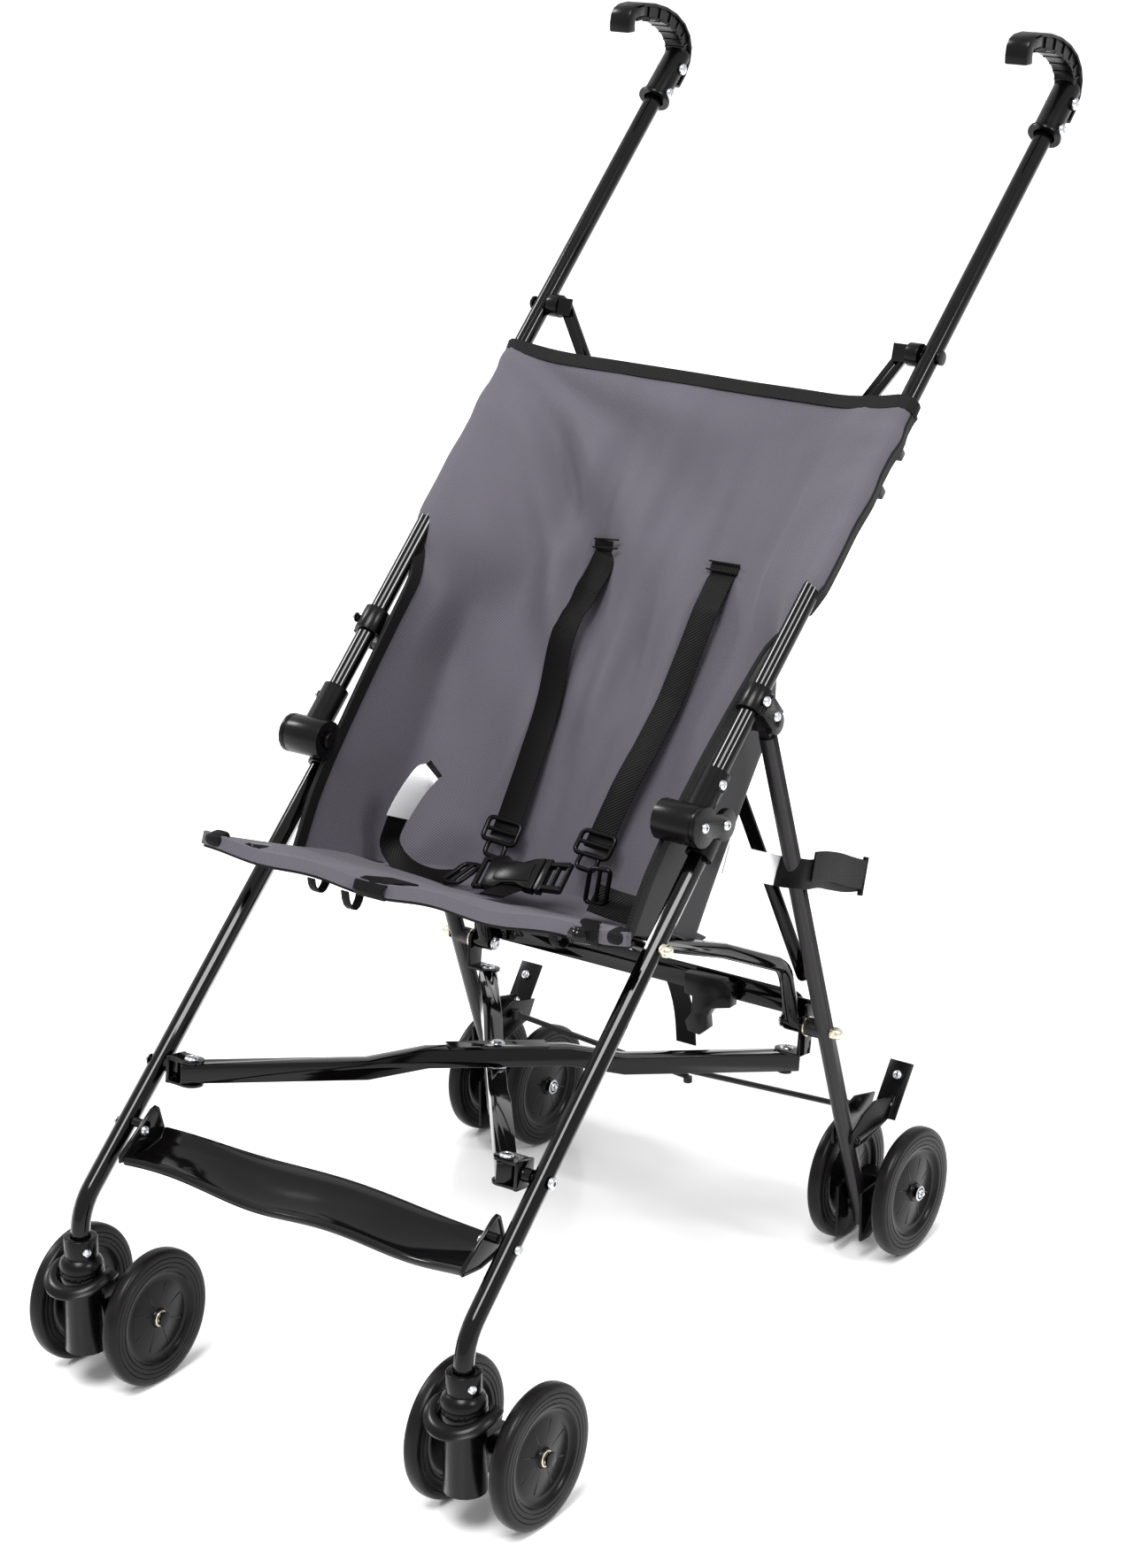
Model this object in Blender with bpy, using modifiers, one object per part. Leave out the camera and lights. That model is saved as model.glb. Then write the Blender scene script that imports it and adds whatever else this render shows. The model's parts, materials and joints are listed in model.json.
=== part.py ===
"""Umbrella-fold pushchair, in metres with +Z up.

The chair faces -Y and its right side, as seen from the front, is at +X. Every side piece is
built at +X and mirrored to -X. Side outlines are given as (y, height above the wheel axles), with
y measured from the middle of the cross frame. At the end the chair is moved along Y, so that the
origin is on the floor under the middle of its footprint.
"""

from math import cos, pi, radians, sin

import bmesh
import bpy
from mathutils import Matrix, Vector

# Clearances: fixed seats, and fits that turn
seat_gap = 0.0003
turn_gap = 0.0005
weld = 2e-6

# Wheels
wheel_radius = 0.0575
tyre_width = 0.0144
tyre_depth = 0.011
hub_radius = 0.0095
hub_proud = 0.0012
axle_radius = 0.004

# Frame tubes
tube_radius = 0.008
rear_leg_radius = 0.0075
seat_bar_radius = 0.0065
cross_tube_size = 0.016
bolt_radius = 0.0032
side_x = 0.1905
push_tube_splay = 0.0085

# Side frame pivots, as (y, height above the axles)
knuckle = (-0.0040, 0.4192)
knuckle_screw = (0.0269, 0.4126)
seat_pivot = (-0.0490, 0.3309)
rear_pivot = (0.2047, 0.1740)
leg_top_pivot = (0.1015, 0.4755)
front_pivot = (-0.1985, 0.1922)
strip_pivot = (0.3428, 0.7265)

# Push tube: its slope, its distance from the knuckle axis and stations along it
push_slope = radians(42.07)
push_offset = 0.0055
push_start = 0.0180
sleeve_screw = 0.0387
sleeve_end = 0.0511
sleeve_radius = 0.0115
clamp_station = 0.1195
handle_station = 0.7060
push_end = 0.7300

# Front leg: its slope, its distance from the knuckle axis and the bend to the castor
front_slope = radians(42.79)
front_offset = 0.0345
front_top = -0.0120
front_bend_radius = 0.050
castor_y = -0.2993
castor_x = 0.1925
collar_top = 0.0765

# Castor and its wheels
castor_trail = 0.0397
castor_spread = 0.0399
castor_hub_end = 0.0511
barrel_radius = 0.0170
stem_rise = 0.0100
lock_rise = 0.0400
lock_outer = 0.0300
lock_inner = 0.0215
lock_back = 0.0020

# Rear foot and its wheels
rear_axle_y = 0.2952
rear_wheel_x = 0.1968
rear_spread = 0.0322
rear_hub_end = 0.0434
leg_x = 0.1938
foot_low = -0.0300
foot_rivet_height = -0.0120

# Knuckle
barrel_inner_x = 0.1670
knuckle_radius = 0.0165
plate_thickness = 0.0049

# Cross frame
cross_half_length = 0.2557
cross_half_angle = radians(38.16)
cross_tilt = radians(7.49)
cross_centre = (0.0009, 0.1660)
cross_joggle = 0.0089
bracket_gap = 0.0006
bracket_thickness = 0.0022
leaf_x = 0.1730
leaf_thickness = 0.0030

# Seat bar, fold bar, brake and back strips
seat_bar_x = 0.1620
seat_bar_front = (-0.1150, 0.3565)
seat_bar_bend = (0.0959, 0.2746)
seat_bar_elbow = (0.1887, 0.2308)
fold_bar_y = 0.2175
fold_bar_height = 0.1850
fold_bar_width = 0.0220
fold_bar_thickness = 0.0025
fold_end_x = 0.1530
brake_pivot = (0.2435, 0.0605)
tab_offset = 0.0062
tab_width = 0.0230
brake_link_height = 0.0765
brake_link_outer_y = 0.2700
brake_link_middle_y = 0.2890
brake_link_dip = 0.0550
brake_link_radius = 0.0026
brake_eye_radius = 0.0045
strip_x = 0.1700
strip_width = 0.0120
strip_thickness = 0.0030
strip_foot_rise = 0.0450
strip_foot_back = 0.0180

# Seat
seat_half_width = 0.1560
seat_front_half_width = 0.2000
seat_front_y = -0.1150
seat_crease_y = 0.0860
seat_top = (0.3010, 0.6890)
seat_sag = 0.012
cloth_thickness = 0.0024
cloth_lap = 0.0030
strap_thickness = 0.0016
belt_lap = 0.0023
belt_lift = 0.010
strap_lift = 0.0038
strap_low = 0.10
strap_high = 0.62
strap_x_low = 0.060
strap_x_high = 0.046
lap_half = 0.1200
lap_station = 0.22
closure_height = 0.2980
footrest_station = 0.3543
footrest_sag = 0.0200
footrest_depth = 0.0460
footrest_thickness = 0.0026

for old in list(bpy.data.objects):
    bpy.data.objects.remove(old, do_unlink=True)

pieces = bpy.data.collections.new("buggy")
cutters = bpy.data.collections.new("cutters")
bpy.context.scene.collection.children.link(pieces)
bpy.context.scene.collection.children.link(cutters)
cutters.hide_render = True


def make_material(name, colour, roughness, metallic=0.0):
    material = bpy.data.materials.new(name)
    material.use_nodes = True
    shader = material.node_tree.nodes["Principled BSDF"]
    shader.inputs["Base Color"].default_value = (*colour, 1.0)
    shader.inputs["Roughness"].default_value = roughness
    shader.inputs["Metallic"].default_value = metallic
    return material


gloss_black = make_material("gloss black steel", (0.012, 0.011, 0.012), 0.12, 0.3)
satin_charcoal = make_material("satin charcoal steel", (0.040, 0.036, 0.038), 0.35, 0.4)
black_plastic = make_material("black plastic", (0.020, 0.018, 0.019), 0.45)
tyre_foam = make_material("tyre foam", (0.030, 0.027, 0.028), 0.70)
zinc = make_material("zinc plate", (0.62, 0.64, 0.66), 0.25, 1.0)
grey_cloth = make_material("grey twill", (0.150, 0.140, 0.165), 0.85)
black_webbing = make_material("black webbing", (0.012, 0.010, 0.011), 0.80)


def side(point, x=0.0):
    """World point of a side outline's (y, height above the axles)."""
    return Vector((x, point[0], wheel_radius + point[1]))


def direction(angle):
    """Unit vector in the side plane, at this angle above +Y."""
    return Vector((0.0, cos(angle), sin(angle)))


# Construction lines of the two main tubes: the point of each nearest to the knuckle axis
push_dir = direction(push_slope)
push_down = direction(push_slope - pi / 2)
push_foot = side(knuckle) + push_down * push_offset
front_up = direction(front_slope)
front_down = direction(front_slope - pi / 2)
front_foot = side(knuckle) + front_down * front_offset
cross_normal = Vector((0.0, sin(cross_tilt), cos(cross_tilt)))
cross_back = Vector((0.0, cos(cross_tilt), -sin(cross_tilt)))
cross_mid = side(cross_centre)
cross_x = cross_half_length * sin(cross_half_angle)
front_corner = cross_mid - cross_back * cross_half_length * cos(cross_half_angle)
rear_corner = cross_mid + cross_back * cross_half_length * cos(cross_half_angle)
front_corner_station = (front_foot.y - castor_y) / front_up.y


def on_push(station, x=None, below=0.0):
    """Point on the push tube's line at this distance from the knuckle, or below it."""
    if x is None:
        x = side_x + push_tube_splay * station / handle_station
    return push_foot + push_dir * station + push_down * below + Vector((x, 0, 0))


def on_front(station):
    """Point on the front leg's line at this distance down from the knuckle."""
    x = side_x + (castor_x - side_x) * station / front_corner_station
    return front_foot - front_up * station + Vector((x, 0, 0))


def leg_point(height, x=None):
    """Point on the rear leg's line at this height above the axles."""
    top = side(leg_top_pivot)
    low = side(rear_pivot)
    share = (leg_top_pivot[1] - height) / (leg_top_pivot[1] - rear_pivot[1])
    point = top.lerp(low, share)
    point.x = leg_x if x is None else x
    return point


# Sizes worked out from the values above
strip_station = (side(strip_pivot) - push_foot).dot(push_dir)
barrel_outer_x = side_x + sleeve_radius
leg_dir = (side(rear_pivot) - side(leg_top_pivot)).normalized()
leg_across = Vector((0, -leg_dir.z, leg_dir.y))
bush_inner_x = leaf_x + leaf_thickness + turn_gap
clamp_drop = (side(leg_top_pivot) - push_foot).dot(push_down)
spacer_half = rear_spread - tyre_width / 2 - hub_proud - turn_gap
front_pivot_station = (front_foot - side(front_pivot)).dot(front_up)
strip_foot = leg_point(rear_pivot[1] + strip_foot_rise) + Vector((0, strip_foot_back, 0))
strip_line = strip_foot - on_push(strip_station)
strip_down = Vector((0, strip_line.y, strip_line.z)).normalized()
strip_normal = Vector((0, -strip_down.z, strip_down.y))
base_dir = (side(seat_bar_bend) - side(seat_bar_front)).normalized()
base_normal = Vector((0, -base_dir.z, base_dir.y))


def show(name, data):
    obj = bpy.data.objects.new(name, data)
    pieces.objects.link(obj)
    return obj


def from_bmesh(name, bm):
    bmesh.ops.recalc_face_normals(bm, faces=bm.faces)
    mesh = bpy.data.meshes.new(name)
    bm.to_mesh(mesh)
    bm.free()
    return show(name, mesh)


def rod(start, end, radius, sides=16, end_radius=None, name="rod"):
    """Solid round bar between two points."""
    start, end = Vector(start), Vector(end)
    axis = end - start
    matrix = axis.to_track_quat("Z", "Y").to_matrix().to_4x4()
    matrix.translation = (start + end) / 2
    bm = bmesh.new()
    bmesh.ops.create_cone(
        bm,
        cap_ends=True,
        segments=sides,
        radius1=radius,
        radius2=radius if end_radius is None else end_radius,
        depth=axis.length,
        matrix=matrix,
    )
    return from_bmesh(name, bm)


def x_rod(point, x_from, x_to, radius, sides=12):
    """Round bar along X through a side point."""
    return rod((x_from, point.y, point.z), (x_to, point.y, point.z), radius, sides)


def block(centre, size, axes=None, name="block"):
    """Box with its sides along the three given axes."""
    axes = axes or (Vector((1, 0, 0)), Vector((0, 1, 0)), Vector((0, 0, 1)))
    columns = [axis * length for axis, length in zip(axes, size)]
    matrix = Matrix(columns).transposed().to_4x4()
    matrix.translation = Vector(centre)
    bm = bmesh.new()
    bmesh.ops.create_cube(bm, size=1.0, matrix=matrix)
    return from_bmesh(name, bm)


def to_mesh(obj):
    """Replaces an object by the mesh that its curve or modifiers give."""
    bpy.context.view_layer.update()
    graph = bpy.context.evaluated_depsgraph_get()
    mesh = bpy.data.meshes.new_from_object(obj.evaluated_get(graph))
    if obj.type == "CURVE":
        bm = bmesh.new()
        bm.from_mesh(mesh)
        bmesh.ops.remove_doubles(bm, verts=bm.verts, dist=1e-6)
        bmesh.ops.recalc_face_normals(bm, faces=bm.faces)
        bm.to_mesh(mesh)
        bm.free()
        placed = show(obj.name, mesh)
        placed.matrix_world = obj.matrix_world
        bpy.data.objects.remove(obj)
        return placed
    obj.modifiers.clear()
    obj.data = mesh
    return obj


def plate(outline, low, high, axes=None, origin=None, name="plate"):
    """Flat plate with this outline; as standard the outline is (y, z) and the thickness along X."""
    curve = bpy.data.curves.new(name, "CURVE")
    curve.dimensions = "2D"
    curve.fill_mode = "BOTH"
    curve.extrude = (high - low) / 2
    spline = curve.splines.new("POLY")
    spline.points.add(len(outline) - 1)
    for point, (u, v) in zip(spline.points, outline):
        point.co = (u, v, 0, 1)
    spline.use_cyclic_u = True
    across, up, out = axes or (Vector((0, 1, 0)), Vector((0, 0, 1)), Vector((1, 0, 0)))
    obj = show(name, curve)
    matrix = Matrix((across, up, out)).transposed().to_4x4()
    matrix.translation = (origin or Vector((0, 0, 0))) + out * (low + high) / 2
    obj.matrix_world = matrix
    made = to_mesh(obj)
    made.data.transform(made.matrix_world)
    made.matrix_world = Matrix.Identity(4)
    return made


def tube(points, radius, resolution=2, name="tube"):
    """Bent round bar through these points."""
    curve = bpy.data.curves.new(name, "CURVE")
    curve.dimensions = "3D"
    curve.bevel_depth = radius
    curve.bevel_resolution = resolution
    curve.use_fill_caps = True
    spline = curve.splines.new("POLY")
    spline.points.add(len(points) - 1)
    for point, place in zip(spline.points, points):
        point.co = (*place, 1)
    return to_mesh(show(name, curve))


def rounded(points, radius, steps=4):
    """Path with each inner corner replaced by an arc of this radius."""
    path = [Vector(points[0])]
    for before, corner, after in zip(points, points[1:], points[2:]):
        corner = Vector(corner)
        back = (Vector(before) - corner).normalized()
        ahead = (Vector(after) - corner).normalized()
        half = back.angle(ahead) / 2
        reach = radius / sin(half) * cos(half)
        middle = (back + ahead).normalized()
        centre = corner + middle * radius / sin(half)
        first = (corner + back * reach - centre).normalized()
        last = (corner + ahead * reach - centre).normalized()
        path += [centre + first.slerp(last, i / steps) * radius for i in range(steps + 1)]
    return path + [Vector(points[-1])]


def turned(profile, centre, axis, steps=28, name="turned"):
    """Ring turned from a profile of (radius, distance along the axis), closed on itself."""
    bm = bmesh.new()
    rows = [bm.verts.new((radius, 0, along)) for radius, along in profile]
    for first, second in zip(rows, rows[1:] + rows[:1]):
        bm.edges.new((first, second))
    mesh = bpy.data.meshes.new(name)
    bm.to_mesh(mesh)
    bm.free()
    obj = show(name, mesh)
    screw = obj.modifiers.new("Turn", "SCREW")
    screw.steps = steps
    screw.render_steps = steps
    screw.use_merge_vertices = True
    screw.merge_threshold = 1e-6
    to_mesh(obj)
    matrix = Vector(axis).to_track_quat("Z", "Y").to_matrix().to_4x4()
    matrix.translation = Vector(centre)
    obj.data.transform(matrix)
    bm = bmesh.new()
    bm.from_mesh(obj.data)
    bmesh.ops.recalc_face_normals(bm, faces=bm.faces)
    bm.to_mesh(obj.data)
    bm.free()
    return obj


def combine(base, others, operation):
    for other in others:
        pieces.objects.unlink(other)
        cutters.objects.link(other)
        other.hide_render = True
        other.display_type = "WIRE"
        modifier = base.modifiers.new("Join", "BOOLEAN")
        modifier.operation = operation
        modifier.solver = "EXACT"
        modifier.object = other
        to_mesh(base)
        bpy.data.objects.remove(other)
        bm = bmesh.new()
        bm.from_mesh(base.data)
        bmesh.ops.remove_doubles(bm, verts=bm.verts, dist=weld)
        bmesh.ops.dissolve_degenerate(bm, edges=bm.edges, dist=weld)
        bm.to_mesh(base.data)
        bm.free()
    return base


def joined(base, *others):
    return combine(base, others, "UNION")


def cut(base, *others):
    return combine(base, others, "DIFFERENCE")


def finish(obj, name, material, pivot=None):
    """Names a piece, gives it its finish and puts its origin on its joint's axis."""
    obj.name = name
    obj.data.name = name
    obj.data.materials.clear()
    obj.data.materials.append(material)
    obj.data.shade_smooth()
    obj.data.set_sharp_from_angle(angle=radians(35))
    if pivot is not None:
        place = Vector(pivot)
        obj.data.transform(Matrix.Translation(-place))
        obj.location = place
    return obj


def mirrored(obj):
    """The left copy of a right piece."""
    mesh = obj.data.copy()
    mesh.transform(Matrix.Diagonal((-1, 1, 1, 1)))
    mesh.flip_normals()
    copy = show(obj.name.replace("_right", "_left"), mesh)
    copy.location = (-obj.location.x, obj.location.y, obj.location.z)
    return copy


def flip(obj):
    """Turns a piece into its mirror image on the other side."""
    obj.data.transform(Matrix.Diagonal((-1, 1, 1, 1)))
    obj.data.flip_normals()


def pair(obj, name, material, pivot=None):
    """Finishes a right piece and its mirrored left copy."""
    right = finish(obj, name + "_right", material, pivot)
    return right, mirrored(right)


def dome_screw(point, x, radius=0.0042):
    """Domed screw head standing out of a face at x."""
    return rod((x - 0.001, point.y, point.z), (x + 0.0022, point.y, point.z), radius, 12, radius * 0.6)


def nut(point, x, length=0.0075):
    """Hexagonal nut with a tapered cap, standing out from x."""
    body = x_rod(point, x, x + length * 0.55, 0.0056, 6)
    cap = rod(
        (x + length * 0.5, point.y, point.z),
        (x + length, point.y, point.z),
        0.0048,
        12,
        0.0022,
    )
    return joined(body, cap)


# Tubes


def make_push_tube():
    """Straight tube from the knuckle's sleeve up into the handle."""
    pin = on_push(strip_station)
    obj = rod(on_push(push_start), on_push(push_end), tube_radius, 16)
    cut(obj, x_rod(pin, pin.x - 0.02, pin.x + 0.02, bolt_radius + turn_gap))
    pair(obj, "push_tube", gloss_black, side(knuckle, side_x))


def make_front_leg():
    """Tube from the knuckle down to the castor, bent upright above it, with the seat bar's bolt."""
    corner = on_front(front_corner_station)
    end = Vector((castor_x, castor_y, wheel_radius + collar_top - 0.012))
    path = rounded([on_front(front_top), corner, end], front_bend_radius, 6)
    obj = tube(path, tube_radius, 2)
    bolt = side(seat_pivot)
    outside = side_x + tube_radius
    inner_collar = x_rod(bolt, leaf_x, side_x, 0.0060)
    obj = joined(obj, inner_collar, nut(bolt, outside - 0.0006, 0.0080))
    hinge = side(front_pivot)
    cut(obj, x_rod(hinge, side_x - 0.03, side_x + 0.03, bolt_radius + turn_gap))
    pair(obj, "front_leg", gloss_black, side(front_pivot, side_x))


def make_rear_leg():
    """Straight tube from the clamp down into the rear foot, with an eye at its top."""
    eye_x = leg_x
    eye = x_rod(side(leg_top_pivot), eye_x - 0.005, eye_x + 0.005, 0.0085)
    neck_top = leg_point(leg_top_pivot[1] - 0.004)
    neck = block(
        (neck_top + leg_point(leg_top_pivot[1] - 0.018)) / 2,
        (0.010, 0.010, 0.018),
        (Vector((1, 0, 0)), leg_across, leg_dir),
    )
    shaft = rod(leg_point(leg_top_pivot[1] - 0.013), leg_point(foot_low), rear_leg_radius, 16)
    bush = x_rod(side(rear_pivot), bush_inner_x, eye_x, 0.0080)
    gold_nut = nut(side(rear_pivot), eye_x + rear_leg_radius - 0.0006, 0.0095)
    obj = joined(shaft, neck, eye, bush, gold_nut)
    rivet = leg_point(foot_rivet_height)
    cut(
        obj,
        x_rod(side(leg_top_pivot), eye_x - 0.02, eye_x + 0.02, bolt_radius + turn_gap),
        x_rod(rivet, eye_x - 0.02, eye_x + 0.02, bolt_radius + seat_gap),
        x_rod(side(brake_pivot), eye_x - 0.02, eye_x + 0.02, bolt_radius + turn_gap),
    )
    pair(obj, "rear_leg", satin_charcoal, side(leg_top_pivot, eye_x))


def make_seat_bar():
    """Bent bar that carries the seat, from its front edge down to the rear pivot."""
    path = rounded(
        [
            side(seat_bar_front, seat_bar_x),
            side(seat_bar_bend, seat_bar_x),
            side(seat_bar_elbow, seat_bar_x),
            side(rear_pivot, seat_bar_x),
        ],
        0.030,
        4,
    )
    obj = tube(path, seat_bar_radius, 2)
    eye = x_rod(side(rear_pivot), seat_bar_x - 0.0062, leaf_x - turn_gap, 0.0075)
    bolt_end = x_rod(side(seat_pivot), 0.1540, leaf_x - turn_gap, 0.0048, 12)
    obj = joined(obj, eye, bolt_end)
    cut(obj, x_rod(side(rear_pivot), 0.14, 0.19, bolt_radius + turn_gap))
    pair(obj, "seat_bar", gloss_black, side(rear_pivot, seat_bar_x))


# Knuckle, clamp and handle


def make_knuckle_upper():
    """Barrel on the knuckle axis with the sleeve that holds the push tube."""
    axis = side(knuckle)
    barrel = x_rod(axis, barrel_inner_x, barrel_outer_x, knuckle_radius, 18)
    sleeve = rod(on_push(0.004), on_push(sleeve_end), sleeve_radius, 16)
    screw = dome_screw(on_push(sleeve_screw), side_x + sleeve_radius - 0.0004)
    obj = joined(barrel, sleeve, screw)
    cut(
        obj,
        rod(on_push(push_start - seat_gap), on_push(0.09), tube_radius + seat_gap, 16),
        x_rod(axis, 0.12, 0.22, axle_radius + turn_gap),
    )
    pair(obj, "knuckle_upper", black_plastic, side(knuckle, side_x))


def make_knuckle_lower():
    """Two-lobed outer plate with the pivot pin and the sleeve that holds the front leg."""
    axis = side(knuckle)
    second = side(knuckle_screw)
    inner = barrel_outer_x + turn_gap
    outer = inner + plate_thickness
    lobe = x_rod(axis, inner, outer, knuckle_radius, 18)
    small_lobe = x_rod(second, inner, outer, 0.0130, 18)
    along = (second - axis).normalized()
    across = Vector((0, -along.z, along.y))
    waist = block(
        (axis + second) / 2 + Vector(((inner + outer) / 2, 0, 0)),
        (plate_thickness, 0.026, 0.019),
        (Vector((1, 0, 0)), along, across),
    )
    pin = x_rod(axis, barrel_inner_x - turn_gap - 0.001, inner + 0.001, axle_radius, 14)
    head = x_rod(axis, barrel_inner_x - turn_gap - 0.0040, barrel_inner_x - turn_gap, 0.0080)
    boss = x_rod(second, side_x - 0.010, inner + 0.001, 0.0070)
    sleeve = rod(on_front(-0.016), on_front(0.010), sleeve_radius, 16)
    screws = (dome_screw(axis, outer), dome_screw(second, outer))
    obj = joined(lobe, small_lobe, waist, pin, head, boss, sleeve, *screws)
    cut(obj, rod(on_front(front_top - seat_gap), on_front(0.03), tube_radius + seat_gap, 16))
    pair(obj, "knuckle_lower", black_plastic, side(knuckle, side_x))


def make_leg_clamp():
    """Collar on the push tube with the fork that holds the rear leg's eye."""
    pivot = side(leg_top_pivot)
    collar = rod(on_push(clamp_station - 0.011), on_push(clamp_station + 0.011), 0.0114, 18)
    middle = (on_push(clamp_station, leg_x) + side(leg_top_pivot, leg_x)) / 2
    web = block(middle, (0.024, 0.020, clamp_drop), (Vector((1, 0, 0)), push_dir, push_down))
    ears = x_rod(pivot, leg_x - 0.012, leg_x + 0.012, 0.0094, 18)
    obj = joined(collar, web, ears)
    slot_low = pivot + push_down * 0.010 + Vector((leg_x, 0, 0))
    slot = block(
        slot_low,
        (0.0112, 0.050, 0.0395),
        (Vector((1, 0, 0)), push_dir, push_down),
    )
    cut(
        obj,
        rod(on_push(clamp_station - 0.03), on_push(clamp_station + 0.03), tube_radius + seat_gap, 16),
        slot,
    )
    pin = x_rod(pivot, leg_x - 0.0125, leg_x + 0.0125, bolt_radius, 12)
    upper = on_push(clamp_station)
    screws = (dome_screw(pivot, leg_x + 0.012), dome_screw(upper, leg_x + 0.012))
    obj = joined(obj, pin, *screws)
    pair(obj, "leg_clamp", black_plastic, side(knuckle, side_x))


def make_handle():
    """Hooked grip with its sleeve and collar on the push tube."""
    x = on_push(handle_station).x
    outline = [
        (0.5375, 0.9105),
        (0.5580, 0.9045),
        (0.5675, 0.9245),
        (0.5660, 0.9395),
        (0.5490, 0.9535),
        (0.5210, 0.9670),
        (0.4930, 0.9750),
        (0.4710, 0.9765),
        (0.4640, 0.9715),
        (0.4630, 0.9545),
        (0.4710, 0.9530),
        (0.4765, 0.9600),
        (0.4920, 0.9590),
        (0.5150, 0.9515),
        (0.5370, 0.9395),
        (0.5450, 0.9300),
        (0.5440, 0.9215),
    ]
    hook = plate(
        [(y, wheel_radius + height) for y, height in outline],
        x - 0.0105,
        x + 0.0105,
    )
    sleeve = rod(on_push(handle_station), on_push(handle_station + 0.046), 0.0125, 18)
    ring = rod(on_push(handle_station - 0.006), on_push(handle_station + 0.004), 0.0145, 18)
    screws = [
        dome_screw(on_push(station), x + 0.0120)
        for station in (handle_station + 0.001, handle_station + 0.030)
    ]
    obj = joined(sleeve, ring, hook, *screws)
    cut(
        obj,
        rod(
            on_push(handle_station - 0.02),
            on_push(push_end + seat_gap),
            tube_radius + seat_gap,
            16,
        ),
    )
    pair(obj, "handle", black_plastic, side(knuckle, side_x))


# Front castors


def wheel(centre, name, sides=20):
    """Foam tyre on a dished hub, as one turned solid that stands on a flat of its tread."""
    half = tyre_width / 2
    tread = wheel_radius / cos(pi / sides)
    rim = wheel_radius - tyre_depth
    bore = axle_radius + turn_gap
    hub_half = half + hub_proud
    profile = [
        (bore, hub_half),
        (hub_radius, hub_half),
        (hub_radius + 0.003, 0.0042),
        (rim, half - 0.0006),
        (tread - 0.004, half),
        (tread, half - 0.0035),
        (tread, -half + 0.0035),
        (tread - 0.004, -half),
        (rim, -half + 0.0006),
        (hub_radius + 0.003, -0.0042),
        (hub_radius, -hub_half),
        (bore, -hub_half),
    ]
    obj = turned(profile, centre, (1, 0, 0), sides)
    half_step = Matrix.Rotation(pi / sides, 4, "X")
    there = Matrix.Translation(centre)
    obj.data.transform(there @ half_step @ there.inverted())
    pair(obj, name, tyre_foam, centre)


def make_castor_collar():
    """Cup on the foot of the front leg, with the stem that the castor turns on."""
    top = wheel_radius + collar_top
    centre = Vector((castor_x, castor_y, 0))
    cup = rod(centre + Vector((0, 0, top)), centre + Vector((0, 0, top - 0.018)), 0.0138, 18)
    stem_low = Vector((castor_x, castor_y, wheel_radius + stem_rise))
    stem = rod(stem_low, centre + Vector((0, 0, top - 0.017)), axle_radius, 14)
    obj = joined(cup, stem)
    cut(
        obj,
        rod(
            centre + Vector((0, 0, top + 0.01)),
            centre + Vector((0, 0, top - 0.0120 - seat_gap)),
            tube_radius + seat_gap,
            16,
        ),
    )
    pair(obj, "castor_collar", black_plastic, centre + Vector((0, 0, top)))


def make_castor_body():
    """Swivelling body: a dome over a barrel, and the arm back to the wheels' axle."""
    centre = Vector((castor_x, castor_y, 0))
    top = wheel_radius + collar_top - 0.018 - turn_gap
    dome = rod(centre + Vector((0, 0, top)), centre + Vector((0, 0, top - 0.009)), 0.0120, 18, 0.0180)
    shoulder = rod(
        centre + Vector((0, 0, top - 0.0088)), centre + Vector((0, 0, top - 0.018)), 0.0180, 24
    )
    barrel = rod(centre + Vector((0, 0, top - 0.017)), centre + Vector((0, 0, 0.035)), barrel_radius, 18)
    axle = Vector((castor_x, castor_y + castor_trail, wheel_radius))
    arm_middle = centre + Vector((0, castor_trail / 2, wheel_radius + 0.004))
    arm = block(arm_middle, (0.024, castor_trail, 0.030))
    trunnion = centre + Vector((0, lock_back, wheel_radius + lock_rise))
    reach = lock_inner - 3 * seat_gap
    trunnions = x_rod(trunnion, castor_x - reach, castor_x + reach, 0.0020, 10)
    boss = x_rod(axle, castor_x - 0.026, castor_x + 0.026, 0.0100, 14)
    shaft = x_rod(axle, castor_x - castor_hub_end, castor_x + castor_hub_end, axle_radius, 10)
    outer_cap = x_rod(axle, castor_x + castor_hub_end - 0.0016, castor_x + castor_hub_end, 0.0062, 12)
    inner_cap = x_rod(axle, castor_x - castor_hub_end, castor_x - castor_hub_end + 0.0016, 0.0062, 12)
    obj = joined(dome, shoulder, barrel, arm, boss, trunnions, shaft, outer_cap, inner_cap)
    bore_low = wheel_radius + stem_rise - turn_gap
    cut(
        obj,
        rod(
            centre + Vector((0, 0, top + 0.01)),
            centre + Vector((0, 0, bore_low)),
            axle_radius + turn_gap,
            12,
        ),
    )
    pair(obj, "castor_body", black_plastic, centre + Vector((0, 0, wheel_radius)))


def make_swivel_lock():
    """Horseshoe flap round the front of the castor barrel, tipped up to lock it straight."""
    centre = Vector((castor_x, castor_y, wheel_radius + lock_rise))
    ring = rod(centre - Vector((0, 0, 0.0025)), centre + Vector((0, 0, 0.0025)), lock_outer, 24)
    cut(
        ring,
        rod(centre - Vector((0, 0, 0.02)), centre + Vector((0, 0, 0.02)), lock_inner, 20),
        block(centre + Vector((0, lock_back + 0.0225, 0)), (0.08, 0.040, 0.02)),
    )
    lip = block(centre + Vector((0, 0.0010 - lock_outer, -0.002)), (0.026, 0.006, 0.007))
    obj = joined(ring, lip)
    pair(obj, "swivel_lock", black_plastic, centre + Vector((0, lock_back, 0)))


# Rear feet and brake


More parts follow.
